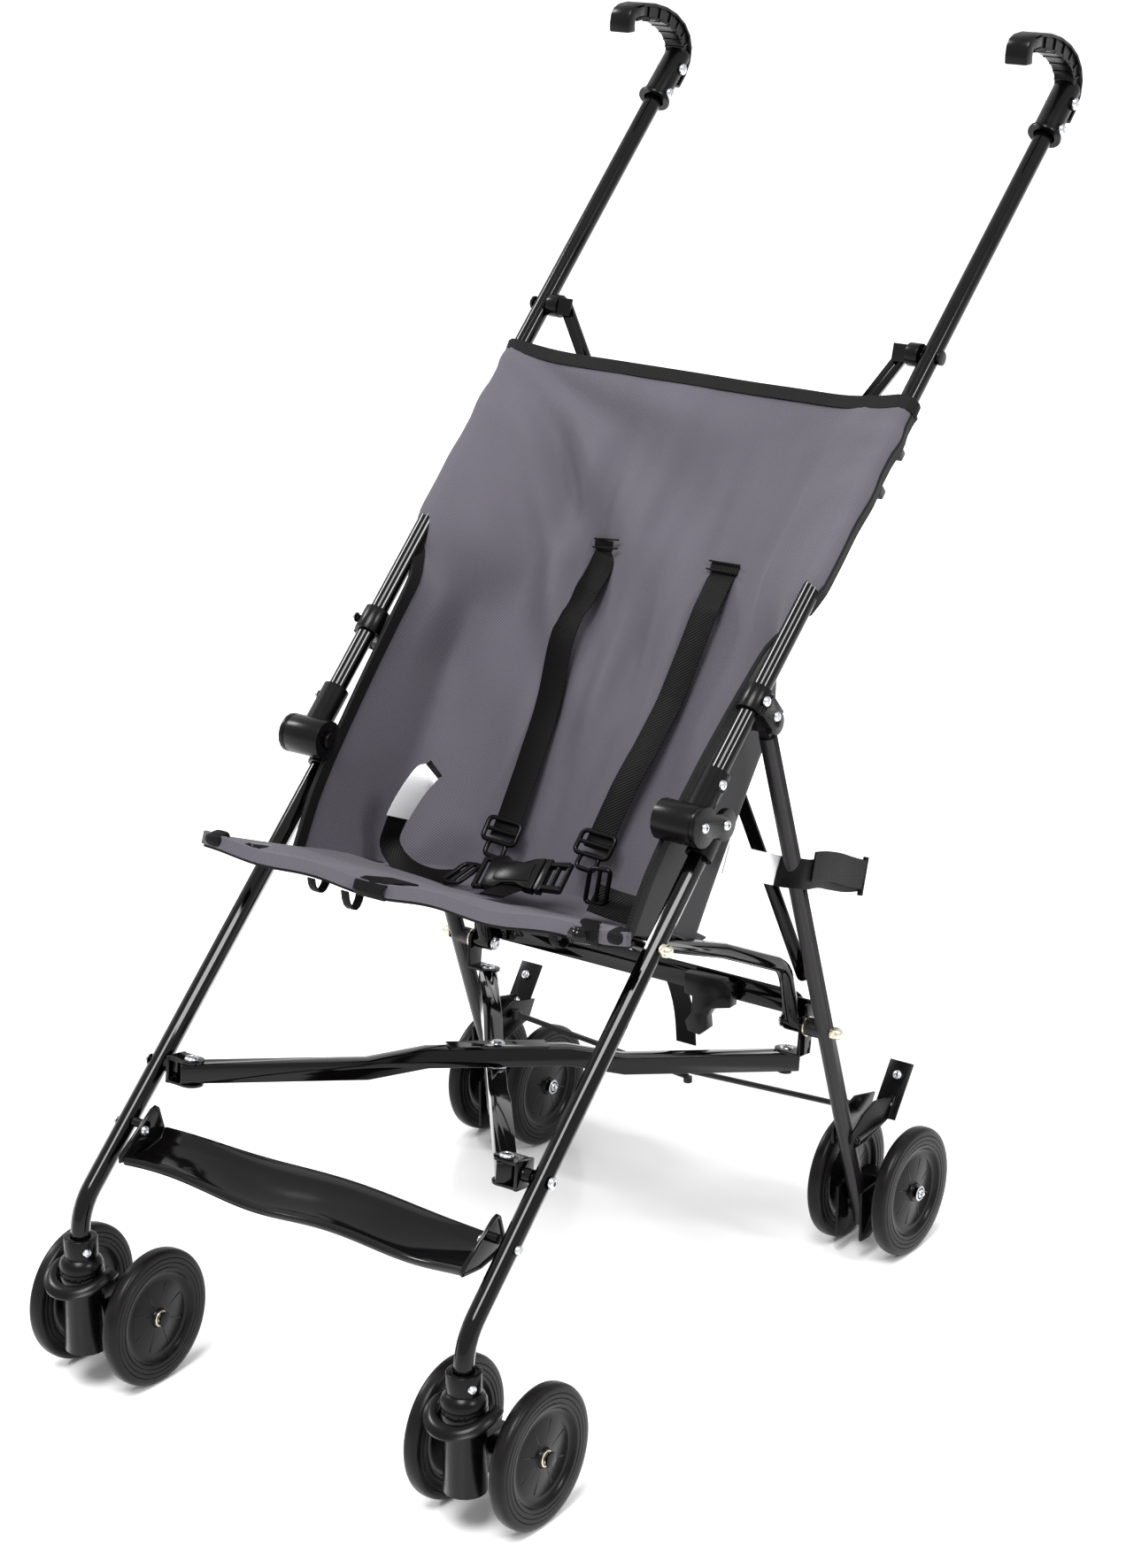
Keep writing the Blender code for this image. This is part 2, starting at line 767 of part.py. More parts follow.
def make_rear_foot():
    """Channel bracket round the foot of the rear leg, with the rear wheels' axle."""
    outline = [
        (0.2500, 0.0660),
        (0.3020, 0.0680),
        (0.3060, 0.0560),
        (0.2990, 0.0460),
        (0.2840, 0.0280),
        (0.2640, 0.0185),
        (0.2500, 0.0200),
    ]
    lift = wheel_radius - 0.0575
    shell = plate([(y, z + lift) for y, z in outline], 0.1815, 0.2075)
    pocket_back = leg_point(foot_low).y + rear_leg_radius + 0.0016
    pocket = block((0.1945, pocket_back - 0.0250, 0.0450 + lift), (0.0210, 0.0500, 0.080))
    cut(shell, pocket)
    axle = Vector((0, rear_axle_y, wheel_radius))
    shaft = x_rod(axle, rear_wheel_x - rear_hub_end, rear_wheel_x + rear_hub_end, axle_radius, 10)
    caps = [
        x_rod(axle, rear_wheel_x + rear_hub_end - 0.0016, rear_wheel_x + rear_hub_end, 0.0062, 12),
        x_rod(axle, rear_wheel_x - rear_hub_end, rear_wheel_x - rear_hub_end + 0.0016, 0.0062, 12),
    ]
    spacers = x_rod(axle, rear_wheel_x - spacer_half, rear_wheel_x + spacer_half, 0.0075, 12)
    rivet = x_rod(leg_point(foot_rivet_height), 0.1800, 0.2090, bolt_radius, 12)
    obj = joined(shell, spacers, shaft, *caps, rivet)
    pair(obj, "rear_foot", black_plastic, axle + Vector((rear_wheel_x, 0, 0)))


def make_brake_lever():
    """Pedal tab on two cheeks that straddle the rear leg."""
    pivot = side(brake_pivot)
    low = Vector((0, 0.2945, wheel_radius + 0.0625))
    rise = direction(radians(54))
    top = low + rise * 0.052
    cheek = [
        (pivot.y - 0.0060, pivot.z - 0.0060),
        (pivot.y + 0.0150, pivot.z - 0.0070),
        (low.y + 0.002, low.z - 0.001),
        (low.y + 0.012, low.z + 0.016),
        (pivot.y + 0.0300, pivot.z + 0.0260),
        (pivot.y + 0.0100, pivot.z + 0.0200),
        (pivot.y - 0.0070, pivot.z + 0.0080),
    ]
    cheeks = [
        plate(cheek, leg_x - 0.0110, leg_x - 0.0085),
        plate(cheek, leg_x + 0.0085, leg_x + 0.0110),
    ]
    back = direction(radians(54 - 90))
    tab = block(
        (low + top) / 2 + Vector((leg_x + tab_offset, 0, 0)) + back * 0.0012,
        (tab_width, 0.052, 0.0026),
        (Vector((1, 0, 0)), rise, back),
    )
    pin = x_rod(pivot, leg_x - 0.0130, leg_x + 0.0130, bolt_radius, 12)
    obj = joined(tab, *cheeks, pin)
    pair(obj, "brake_lever", black_plastic, side(brake_pivot, leg_x))


def make_brake_link():
    """Rod from each brake lever to the middle, jointed there with the right rod on top."""
    outer_x = leg_x - 0.0110 - turn_gap - brake_eye_radius
    outer = Vector((outer_x, brake_link_outer_y, wheel_radius + brake_link_height))
    middle = Vector((0.0, brake_link_middle_y, wheel_radius + brake_link_dip))
    layer = Vector((0, 0, brake_link_radius + turn_gap))
    for sign, name in ((1, "brake_link_right"), (-1, "brake_link_left")):
        end = middle + layer * sign
        shaft = rod(outer, end, brake_link_radius, 10)
        half_eye = Vector((0, 0, 0.0040))
        eye = rod(outer - half_eye, outer + half_eye, brake_eye_radius, 12)
        knob = rod(end, end + layer * sign * 1.6, 0.0040, 12)
        obj = joined(shaft, eye, knob)
        if sign < 0:
            flip(obj)
        finish(obj, name, satin_charcoal, Vector((sign * outer.x, outer.y, outer.z)))


# Cross frame


def make_cross_tube(name, sign, level):
    """Square tube from a front corner to the opposite rear one, joggled past its partner."""
    along = Vector((sign * cross_x, 0, 0)) + (rear_corner - cross_mid)
    along.normalize()
    across = cross_normal.cross(along)
    half = cross_tube_size / 2
    reach = cross_half_length + 0.010
    top = [(-0.110, 0), (-0.060, level), (0.060, level), (0.110, 0)]
    upper = [(u, v + half) for u, v in [(-reach, 0)] + top + [(reach, 0)]]
    lower = [(u, v - half) for u, v in [(reach, 0)] + top[::-1] + [(-reach, 0)]]
    obj = plate(upper + lower, -half, half, (along, cross_normal, across), cross_mid)
    for end in (-cross_half_length, 0, cross_half_length):
        centre = cross_mid + along * end
        drill = rod(
            centre - cross_normal * 0.04, centre + cross_normal * 0.04, bolt_radius + turn_gap, 12
        )
        cut(obj, drill)
    finish(obj, name, gloss_black, cross_mid)


def make_centre_rivet():
    """Rivet that the two cross tubes turn on, with the washer between them."""
    top = cross_joggle + cross_tube_size / 2 + 0.0028
    low = -cross_joggle - cross_tube_size / 2 - 0.0004
    washer_half = cross_joggle - cross_tube_size / 2 - seat_gap

    def level(height):
        return cross_mid + cross_normal * height

    shaft = rod(level(low - 0.002), level(top + 0.002), bolt_radius, 12)
    head = rod(level(top), level(top + 0.0022), 0.0062, 16, 0.0040)
    foot = rod(level(low - 0.0022), level(low), 0.0062, 16)
    washer = rod(level(-washer_half), level(washer_half), 0.0085, 20)
    finish(joined(shaft, head, foot, washer), "centre_rivet", zinc, cross_mid)


def make_saddle():
    """Stiffening plate along the top of the upper cross tube, over the rivet."""
    along = (Vector((cross_x, 0, 0)) + (rear_corner - cross_mid)).normalized()
    across = cross_normal.cross(along)
    level = cross_joggle + cross_tube_size / 2 + seat_gap
    obj = block(
        cross_mid + cross_normal * (level + 0.0009),
        (0.085, 0.0180, 0.0018),
        (along, across, cross_normal),
    )
    cut(obj, rod(cross_mid, cross_mid + cross_normal * 0.04, bolt_radius + turn_gap, 12))
    finish(obj, "saddle", gloss_black, cross_mid)


def make_front_bracket():
    """Channel bracket round the front end of a cross tube, with the bolt of the front leg."""
    centre = front_corner + Vector((cross_x, 0, 0))
    gap = cross_tube_size / 2 + bracket_gap
    outer = gap + bracket_thickness
    axes = (Vector((1, 0, 0)), cross_back, cross_normal)
    web_x = leaf_x + 0.0015
    parts = []
    for sign in (1, -1):
        level = cross_normal * sign * (gap + bracket_thickness / 2)
        leaf = rod(
            centre + cross_normal * sign * gap, centre + cross_normal * sign * outer, 0.0105, 24
        )
        bridge = block(
            centre + level + Vector(((web_x - centre.x) / 2, 0, 0)),
            (web_x - centre.x, 0.020, bracket_thickness),
            axes,
        )
        head = rod(
            centre + cross_normal * sign * (outer - 0.0005),
            centre + cross_normal * sign * (outer + 0.0020),
            0.0058,
            10,
            0.0036,
        )
        parts += [leaf, bridge, head]
    web = block(
        Vector((web_x, 0, 0)) + front_corner, (0.0030, 0.0206, 2 * outer + 0.0006), axes
    )
    pin = rod(centre - cross_normal * outer, centre + cross_normal * outer, bolt_radius, 12)
    hinge = side(front_pivot)
    leg_middle = on_front(front_pivot_station).x
    bolt = x_rod(hinge, web_x, leg_middle + tube_radius + 0.0020, bolt_radius, 12)
    head = dome_screw(hinge, leg_middle + tube_radius + 0.0010 + turn_gap, 0.0052)
    spacer = x_rod(hinge, web_x, leg_middle - tube_radius - turn_gap, 0.0060, 12)
    obj = joined(web, *parts, pin, spacer, bolt, head)
    pair(obj, "front_bracket", gloss_black, centre)


def make_rear_bracket():
    """Upright leaf over the rear end of a cross tube, with the rear bolt and the fold bar's lug."""
    centre = rear_corner + Vector((cross_x, 0, 0))
    gap = cross_tube_size / 2 + bracket_gap
    outer = gap + bracket_thickness
    axes = (Vector((1, 0, 0)), cross_back, cross_normal)
    pivot = side(rear_pivot)
    disc = rod(centre + cross_normal * gap, centre + cross_normal * outer, 0.0105, 18)
    bridge_middle = Vector(((leaf_x - centre.x) / 2 + 0.0010, 0, 0))
    bridge = block(
        centre + cross_normal * (gap + bracket_thickness / 2) + bridge_middle,
        (leaf_x - centre.x + 0.0020, 0.020, bracket_thickness),
        axes,
    )
    rise = (pivot - rear_corner).dot(cross_normal) - gap
    leaf = block(
        rear_corner + cross_normal * (gap + rise / 2) + Vector((leaf_x + leaf_thickness / 2, 0, 0)),
        (leaf_thickness, 0.018, rise),
        axes,
    )
    eye = x_rod(pivot, leaf_x, leaf_x + leaf_thickness, 0.0090, 18)
    bolt = x_rod(pivot, seat_bar_x - 0.0080, leaf_x + 0.001, bolt_radius, 12)
    bolt_head = x_rod(pivot, seat_bar_x - 0.0100, seat_bar_x - 0.0067, 0.0056, 14)
    pin_low = centre - cross_normal * (gap + 0.0020)
    pin = rod(pin_low, centre + cross_normal * (outer + 0.0020), bolt_radius, 12)
    top_head = rod(
        centre + cross_normal * (outer - 0.0005), centre + cross_normal * (outer + 0.0022), 0.0060, 10, 0.0038
    )
    foot = rod(centre - cross_normal * (gap + 0.0022), centre - cross_normal * gap, 0.0060, 10)
    lug_front = fold_bar_y - fold_bar_thickness - turn_gap * 1.5 - 0.0022
    lug_centre = Vector((0, lug_front + 0.0011, wheel_radius + fold_bar_height))
    lug = block(lug_centre + Vector((fold_end_x + 0.0075, 0, 0)), (0.0290, 0.0022, 0.0180))
    arm = block(
        Vector((leaf_x + leaf_thickness / 2, (pivot.y + lug_front) / 2 + 0.0011, lug_centre.z - 0.002)),
        (leaf_thickness, lug_front - pivot.y + 0.0022, 0.0180),
    )
    lug_pin = rod(
        lug_centre + Vector((fold_end_x, -0.0005, 0)),
        lug_centre + Vector((fold_end_x, fold_bar_thickness * 2 + 0.0045, 0)),
        bolt_radius,
        16,
    )
    obj = joined(leaf, disc, bridge, eye, bolt, bolt_head, pin, top_head, foot, arm, lug, lug_pin)
    pair(obj, "rear_bracket", gloss_black, centre)


# Fold lock and back strips


def make_fold_bars():
    """Two halves of the flat bar that keeps the rear of the frame spread, the right one behind."""
    z = wheel_radius + fold_bar_height
    half = fold_bar_width / 2
    for sign, name in ((1, "fold_bar_right"), (-1, "fold_bar_left")):
        middle = fold_bar_y + sign * (fold_bar_thickness + turn_gap) / 2
        low, high = middle - fold_bar_thickness / 2, middle + fold_bar_thickness / 2
        obj = block(
            Vector((fold_end_x / 2, middle, z)), (fold_end_x, fold_bar_thickness, fold_bar_width)
        )
        ends = [rod((x, low, z), (x, high, z), half, 20) for x in (0, fold_end_x)]
        away = high if sign > 0 else low
        rivet = rod((0, middle, z), (0, away + sign * 0.0018, z), 0.0045, 12)
        joined(obj, *ends, rivet)
        hole = bolt_radius + turn_gap
        cut(obj, rod((fold_end_x, low - 0.01, z), (fold_end_x, high + 0.01, z), hole, 12))
        if sign < 0:
            flip(obj)
        finish(obj, name, gloss_black, (sign * fold_end_x, middle, z))


def make_fold_latch():
    """Catch on the fold bar with its foot pedal."""
    z = wheel_radius + fold_bar_height
    front = fold_bar_y - fold_bar_thickness - turn_gap * 2
    outline = [
        (0.0520, z - 0.0095),
        (0.0600, z - 0.0110),
        (0.0600, z - 0.0260),
        (0.0530, z - 0.0360),
        (0.0560, z - 0.0440),
        (0.0680, z - 0.0455),
        (0.0750, z - 0.0390),
        (0.0740, z - 0.0280),
        (0.0800, z - 0.0180),
        (0.0990, z - 0.0130),
        (0.1000, z + 0.0020),
        (0.0900, z + 0.0100),
        (0.0520, z + 0.0095),
    ]
    axes = (Vector((1, 0, 0)), Vector((0, 0, 1)), Vector((0, -1, 0)))
    obj = plate(outline, -front, -front + 0.0110, axes)
    reach = fold_bar_thickness + turn_gap
    foot = block((0.0900, front + reach / 2, z - 0.001), (0.0140, reach + 0.0010, 0.0140))
    joined(obj, foot)
    finish(obj, "fold_latch", black_plastic, (0.0900, front - 0.0055, z))


def make_upper_bracket():
    """Swivel boss on the push tube with the ear that carries a back strip."""
    tube_at = on_push(strip_station)
    pin_x = tube_at.x
    point = Vector((0, tube_at.y, tube_at.z))
    boss = x_rod(point, strip_x + strip_width / 2 + turn_gap, pin_x - tube_radius - turn_gap, 0.0100, 20)
    pin = x_rod(point, strip_x + 0.0070, pin_x + 0.0095, bolt_radius, 12)
    head = x_rod(point, pin_x + tube_radius + turn_gap, pin_x + tube_radius + 0.0030, 0.0062, 16)
    front = strip_thickness + turn_gap
    ear = block(
        point + Vector((strip_x + 0.0025, 0, 0)) - strip_normal * (front + 0.0014),
        (0.0190, 0.0028, 0.0150),
        (Vector((1, 0, 0)), strip_normal, strip_down),
    )
    ear_pin = rod(
        point + Vector((strip_x, 0, 0)) - strip_normal * (front + 0.001),
        point + Vector((strip_x, 0, 0)) + strip_normal * (front + 0.0010),
        0.0028,
        14,
    )
    bridge_x = strip_x + strip_width / 2 + turn_gap + 0.0020
    bridge = block(
        point + Vector((bridge_x, 0, 0)) - strip_normal * (front + 0.0014) / 2,
        (0.0040, front + 0.0028, 0.0150),
        (Vector((1, 0, 0)), strip_normal, strip_down),
    )
    obj = joined(boss, pin, head, ear, ear_pin, bridge)
    pair(obj, "upper_bracket", black_plastic, side(strip_pivot, pin_x))


def make_back_strips():
    """Two flat strips crossing behind the seat, from each upper bracket to the other leg."""
    upper = on_push(strip_station)
    upper.x = strip_x
    lower = strip_foot.copy()
    lower.x = -strip_x
    for sign, name in ((1, "back_strip_a"), (-1, "back_strip_b")):
        level = strip_normal * (strip_thickness / 2 + seat_gap) * sign
        start, end = upper + level, lower + level
        along = (end - start).normalized()
        across = strip_normal.cross(along)
        half = strip_width / 2
        low, high = -strip_thickness / 2, strip_thickness / 2
        obj = block(
            (start + end) / 2,
            ((end - start).length, strip_width, strip_thickness),
            (along, across, strip_normal),
        )
        top_end = rod(start + strip_normal * low, start + strip_normal * high, half, 16)
        low_end = rod(end + strip_normal * low, end + strip_normal * high, half, 16)
        joined(obj, top_end, low_end)
        cut(obj, rod(start - strip_normal * 0.02, start + strip_normal * 0.02, 0.0028 + turn_gap, 14))
        if sign < 0:
            flip(obj)
        finish(obj, name, gloss_black, (sign * strip_x, upper.y, upper.z))


# Seat, harness and footrest


def cloth_sheet(point_at, columns, rows, thickness, name, material):
    """Closed sheet of cloth over a grid of points given by a function of (u, v)."""
    bm = bmesh.new()
    bmesh.ops.create_grid(bm, x_segments=columns, y_segments=rows, size=0.5)
    for vert in bm.verts:
        vert.co = point_at(vert.co.x * 2, vert.co.y + 0.5)
    mesh = bpy.data.meshes.new(name)
    bm.to_mesh(mesh)
    bm.free()
    obj = show(name, mesh)
    shell = obj.modifiers.new("Cloth", "SOLIDIFY")
    shell.thickness = thickness
    shell.offset = 0
    to_mesh(obj)
    return finish(obj, name, material)


def smooth(value):
    """Goes from 0 to 1 with level ends."""
    value = min(max(value, 0.0), 1.0)
    return value * value * (3 - 2 * value)


def back_middle(v):
    """The seat back's middle line, from the crease at 0 up to its top edge at 1."""
    y = seat_crease_y + (seat_top[0] - seat_crease_y) * v
    low = base_height(seat_crease_y) + cloth_lap
    belly = 0.030 * sin(pi * v)
    z = low + (wheel_radius + seat_top[1] - low) * v
    return Vector((0, y + belly, z - belly * 0.25))


def back_point(u, v):
    """Sling-like back: its sides come forward to the push tubes, its middle hangs back."""
    middle = back_middle(v)
    top_half = on_push(0.25).x - tube_radius - seat_gap - cloth_thickness / 2
    half = seat_half_width + (top_half - seat_half_width) * smooth(v * 1.6 - 0.5)
    rail_z = middle.z + 0.012 * (1 - v)
    rail_y = push_foot.y + (rail_z - push_foot.z) / push_dir.z * push_dir.y
    low_y = seat_crease_y - 0.100
    rail_y = max(rail_y, low_y) if v < 0.4 else rail_y
    rail_z = max(rail_z, base_height(rail_y) + cloth_lap)
    share = smooth((abs(u) - 0.55) / 0.45)
    fold = 0.0025 * sin(u * 22) * (1 - abs(u)) * sin(pi * v)
    y = middle.y * (1 - share) + rail_y * share + fold
    x = half * min(1.0, abs(u) * 1.12) * (1 if u > 0 else -1)
    return Vector((x, y, middle.z * (1 - share) + rail_z * share))


def base_height(y):
    """Height of the seat base's edge, which lies on the seat bars."""
    slope = (seat_bar_front[1] - seat_bar_bend[1]) / (seat_bar_front[0] - seat_bar_bend[0])
    bar = wheel_radius + seat_bar_bend[1] + slope * (y - seat_bar_bend[0])
    return bar + seat_bar_radius + cloth_thickness / 2 + seat_gap + seat_sag * 0.15


def base_point(u, v):
    """Seat base over the seat bars, from the crease at 0 forward to its flared front edge at 1."""
    y = seat_crease_y - 0.004 + (seat_front_y - seat_crease_y + 0.004) * v
    half = seat_half_width + 0.012
    half += (seat_front_half_width - half) * smooth((v - 0.72) / 0.28)
    sag = seat_sag * (1 - u * u) * sin(pi * (0.15 + 0.75 * v))
    rise = 0.006 * u * u * smooth(v)
    return Vector((u * half, y, base_height(y) - sag + rise))


def make_seat():
    """Sling seat: the back with its sides, and the base that lies on the seat bars."""
    cloth_sheet(back_point, 20, 10, cloth_thickness, "seat_back", grey_cloth)
    cloth_sheet(base_point, 12, 8, cloth_thickness, "seat_base", grey_cloth)


def make_harness():
    """Two shoulder straps, and a lap belt with its buckle."""
    for sign, name in ((1, "shoulder_strap_right"), (-1, "shoulder_strap_left")):

        def strap_point(u, v, sign=sign):
            height = strap_low + (strap_high - strap_low) * v
            x = sign * (strap_x_low + (strap_x_high - strap_x_low) * v) + 0.0125 * u
            place = back_point(x / seat_half_width, height)
            place.x = x
            place.y -= strap_lift + 0.010 * sin(pi * v)
            return place

        cloth_sheet(strap_point, 2, 10, strap_thickness, name, black_webbing)

    def lap_point(u, v):
        across = (v - 0.5) * 2 * lap_half
        place = base_point(across / seat_half_width, lap_station + 0.06 * u)
        place.x = across
        return place + base_normal * (belt_lap + belt_lift * (1 - (v * 2 - 1) ** 2))

    cloth_sheet(lap_point, 2, 12, strap_thickness, "lap_belt", black_webbing)
    place = base_point(0, lap_station)
    rest = belt_lap + belt_lift + strap_thickness / 2 + seat_gap
    axes = (Vector((1, 0, 0)), base_dir, base_normal)
    body = block(place + base_normal * (rest + 0.0075), (0.070, 0.036, 0.012), axes)
    finish(body, "buckle", black_plastic)


def make_footrest():
    """Sagging panel between the front legs, with an ear screwed to each leg."""
    centre = on_front(footrest_station)
    inside = centre.x - tube_radius - seat_gap
    ear_x = inside - 0.0045

    def panel_point(u, v):
        """u runs from leg to leg and v from the back edge to the front one."""
        sag = footrest_sag * (1 - u * u) ** 2
        y = centre.y + 0.0230 - footrest_depth * v
        z = centre.z - 0.0130 - 0.0080 * v + 0.0100 * (1 - u * u) * (1 - v) - sag * v
        return Vector((u * ear_x, y, z))

    panel = cloth_sheet(panel_point, 14, 4, footrest_thickness, "footrest", black_plastic)
    low = centre.z - 0.0130
    for sign in (1, -1):
        outline = [
            (centre.y + 0.0240, low - 0.0020),
            (centre.y + 0.0240, low + 0.0060),
            (centre.y + 0.0150, low + 0.0350),
            (centre.y + 0.0080, low + 0.0350),
            (centre.y - 0.0240, low + 0.0020),
            (centre.y - 0.0250, low - 0.0100),
        ]
        ear = plate(outline, ear_x - 0.0015, ear_x + 0.0015)
        boss = x_rod(centre, ear_x, inside, 0.0060)
        joined(ear, boss)
        if sign < 0:
            flip(ear)
        joined(panel, ear)


def make_loose_straps():
    """Closure strap round the right rear leg, and the pull strap on the fold bar."""
    at = leg_point(closure_height)
    inside = rear_leg_radius + 0.0012
    path = [
        at + Vector((-0.014, -0.040, 0.000)),
        at + Vector((-0.006, -inside - 0.006, 0.002)),
        at + Vector((inside, -inside - 0.004, 0.002)),
        at + Vector((inside + 0.006, 0.000, 0.002)),
        at + Vector((inside + 0.004, 0.012, 0.001)),
        at + Vector((0.006, 0.040, 0.000)),
        at + Vector((0.004, 0.062, -0.001)),
    ]

    def closure_point(u, v):
        index = v * (len(path) - 1)
        low = min(int(index), len(path) - 2)
        place = path[low].lerp(path[low + 1], index - low)
        return place + Vector((0, 0, 0.0125 * u))

    cloth_sheet(closure_point, 2, 15, strap_thickness, "closure_strap", black_webbing)
    behind = fold_bar_y + fold_bar_thickness + turn_gap + 0.0011
    top = Vector((0.026, behind, wheel_radius + fold_bar_height))

    def pull_point(u, v):
        drop = (1 - v) * 0.066
        return top + Vector((0.0100 * u + 0.25 * drop, 0.006 * sin(pi * (1 - v)), -drop))

    cloth_sheet(pull_point, 2, 8, strap_thickness, "pull_strap", black_webbing)


make_push_tube()
make_front_leg()
make_rear_leg()
make_seat_bar()
make_knuckle_upper()
make_knuckle_lower()
make_leg_clamp()
make_handle()
make_castor_collar()
make_castor_body()
make_swivel_lock()
castor_axle = Vector((castor_x, castor_y + castor_trail, wheel_radius))
wheel(castor_axle - Vector((castor_spread, 0, 0)), "front_wheel_inner")
wheel(castor_axle + Vector((castor_spread, 0, 0)), "front_wheel_outer")
make_rear_foot()
rear_axle = Vector((rear_wheel_x, rear_axle_y, wheel_radius))
wheel(rear_axle - Vector((rear_spread, 0, 0)), "rear_wheel_inner")
wheel(rear_axle + Vector((rear_spread, 0, 0)), "rear_wheel_outer")
make_brake_lever()
make_brake_link()
make_cross_tube("cross_tube_a", 1, cross_joggle)
make_cross_tube("cross_tube_b", -1, -cross_joggle)
make_centre_rivet()
make_saddle()
make_front_bracket()
make_rear_bracket()
make_fold_bars()
make_fold_latch()
make_upper_bracket()
make_back_strips()
make_seat()
make_harness()
make_footrest()
make_loose_straps()

# The middle of the footprint goes on the origin
bpy.context.view_layer.update()
corners = [obj.matrix_world @ Vector(corner) for obj in pieces.objects for corner in obj.bound_box]
footprint_middle = (min(corner.y for corner in corners) + max(corner.y for corner in corners)) / 2
for obj in pieces.objects:
    obj.location.y -= footprint_middle
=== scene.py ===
"""Umbrella-fold pushchair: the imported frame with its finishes, seat cloth, harness and fittings."""

import json
import math

import bmesh
import bpy
from mathutils import Matrix, Vector


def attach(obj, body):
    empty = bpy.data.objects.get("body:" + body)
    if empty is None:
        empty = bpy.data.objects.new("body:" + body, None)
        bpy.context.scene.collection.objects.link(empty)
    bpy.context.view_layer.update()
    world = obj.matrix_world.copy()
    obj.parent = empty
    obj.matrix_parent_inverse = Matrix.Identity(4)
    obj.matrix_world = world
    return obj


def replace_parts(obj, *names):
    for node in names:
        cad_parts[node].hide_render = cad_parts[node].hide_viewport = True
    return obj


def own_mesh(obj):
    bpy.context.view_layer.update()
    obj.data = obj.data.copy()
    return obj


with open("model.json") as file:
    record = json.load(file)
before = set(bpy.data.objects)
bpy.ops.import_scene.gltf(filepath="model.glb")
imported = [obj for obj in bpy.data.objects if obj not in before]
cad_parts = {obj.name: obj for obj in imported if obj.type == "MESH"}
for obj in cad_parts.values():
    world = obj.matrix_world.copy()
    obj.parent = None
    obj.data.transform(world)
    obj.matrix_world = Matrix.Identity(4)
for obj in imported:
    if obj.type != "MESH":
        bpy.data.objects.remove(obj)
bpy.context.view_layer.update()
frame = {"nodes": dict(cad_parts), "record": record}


# Steel tubes
# The push tubes, front legs and seat bars are drawn steel tube of 16 and 13 mm, and the cross
# tubes are square. All have a thick gloss black enamel, sprayed and baked, with long highlights.

behaviour = frame["record"]["behaviour"]
body_of_node = {node: body for body, nodes in behaviour["bodies"].items() for node in nodes}


def srgb(code):
    """Linear colour of an sRGB hex value."""
    parts = [int(code[i : i + 2], 16) / 255 for i in (1, 3, 5)]
    return [v / 12.92 if v <= 0.04045 else ((v + 0.055) / 1.055) ** 2.4 for v in parts] + [1.0]


def add_node(material, kind, inputs=None, **settings):
    """Adds a node, sets its properties, and links or fills its inputs."""
    tree = material.node_tree
    made = tree.nodes.new(kind)
    for key, value in settings.items():
        setattr(made, key, value)
    for key, value in (inputs or {}).items():
        if isinstance(value, bpy.types.NodeSocket):
            tree.links.new(value, made.inputs[key])
        else:
            made.inputs[key].default_value = value
    return made


def new_finish(name, colour, roughness, slot=None, metallic=0.0, **sockets):
    """Material with its shader's own sockets set."""
    material = bpy.data.materials.new(name)
    material.use_nodes = True
    add_node(material, "ShaderNodeTexCoord")
    shader = material.node_tree.nodes["Principled BSDF"]
    shader.inputs["Base Color"].default_value = srgb(colour)
    shader.inputs["Roughness"].default_value = roughness
    shader.inputs["Metallic"].default_value = metallic
    for key, value in sockets.items():
        shader.inputs[key.replace("_", " ")].default_value = value
    return material


def vary(material, scale, colours, roughness, grain_scale=0.0, depth=0.0):
    """Cloudy change of colour and roughness, with a bump of finer grain."""
    nodes, links = material.node_tree.nodes, material.node_tree.links
    shader = nodes["Principled BSDF"]
    place = nodes["Texture Coordinate"].outputs["Object"]
    cloud = add_node(material, "ShaderNodeTexNoise", {"Vector": place, "Scale": scale, "Detail": 4.0})
    ramp = add_node(material, "ShaderNodeValToRGB", {"Fac": cloud.outputs["Fac"]})
    for element, position, colour in zip(ramp.color_ramp.elements, (0.3, 0.7), colours):
        element.position = position
        element.color = srgb(colour)
    links.new(ramp.outputs["Color"], shader.inputs["Base Color"])
    spread = add_node(
        material,
        "ShaderNodeMapRange",
        {"Value": cloud.outputs["Fac"], "To Min": roughness[0], "To Max": roughness[1]},
    )
    links.new(spread.outputs["Result"], shader.inputs["Roughness"])
    if grain_scale:
        grain = add_node(
            material, "ShaderNodeTexNoise", {"Vector": place, "Scale": grain_scale, "Detail": 2.0}
        )
        raised = add_node(
            material,
            "ShaderNodeBump",
            {"Height": grain.outputs["Fac"], "Distance": depth, "Strength": 0.5},
        )
        links.new(raised.outputs["Normal"], shader.inputs["Normal"])


# Sprayed enamel: nearly black, mirror-like, with the faint waviness of orange peel (about 3 mm)
enamel = new_finish("gloss black enamel", "#060506", 0.07, Specular_IOR_Level=0.26)
vary(enamel, 25, ("#030203", "#050405"), (0.06, 0.10), 320, 0.00001)


def deselect():
    if bpy.context.object and bpy.context.object.mode != "OBJECT":
        bpy.ops.object.mode_set(mode="OBJECT")
    bpy.ops.object.select_all(action="DESELECT")


def pick(piece):
    """Makes a piece the only selected and the active one."""
    deselect()
    piece.select_set(True)
    bpy.context.view_layer.objects.active = piece


def soften(piece, width, angle=40):
    """Rounds a piece's hard edges and shades it smooth up to them."""
    pick(piece)
    if width:
        edge = piece.modifiers.new("Edge", "BEVEL")
        edge.width = width
        edge.segments = 2
        edge.limit_method = "ANGLE"
        edge.angle_limit = math.radians(angle)
        bpy.ops.object.modifier_apply(modifier=edge.name)
    bpy.ops.object.shade_smooth_by_angle(angle=math.radians(angle))


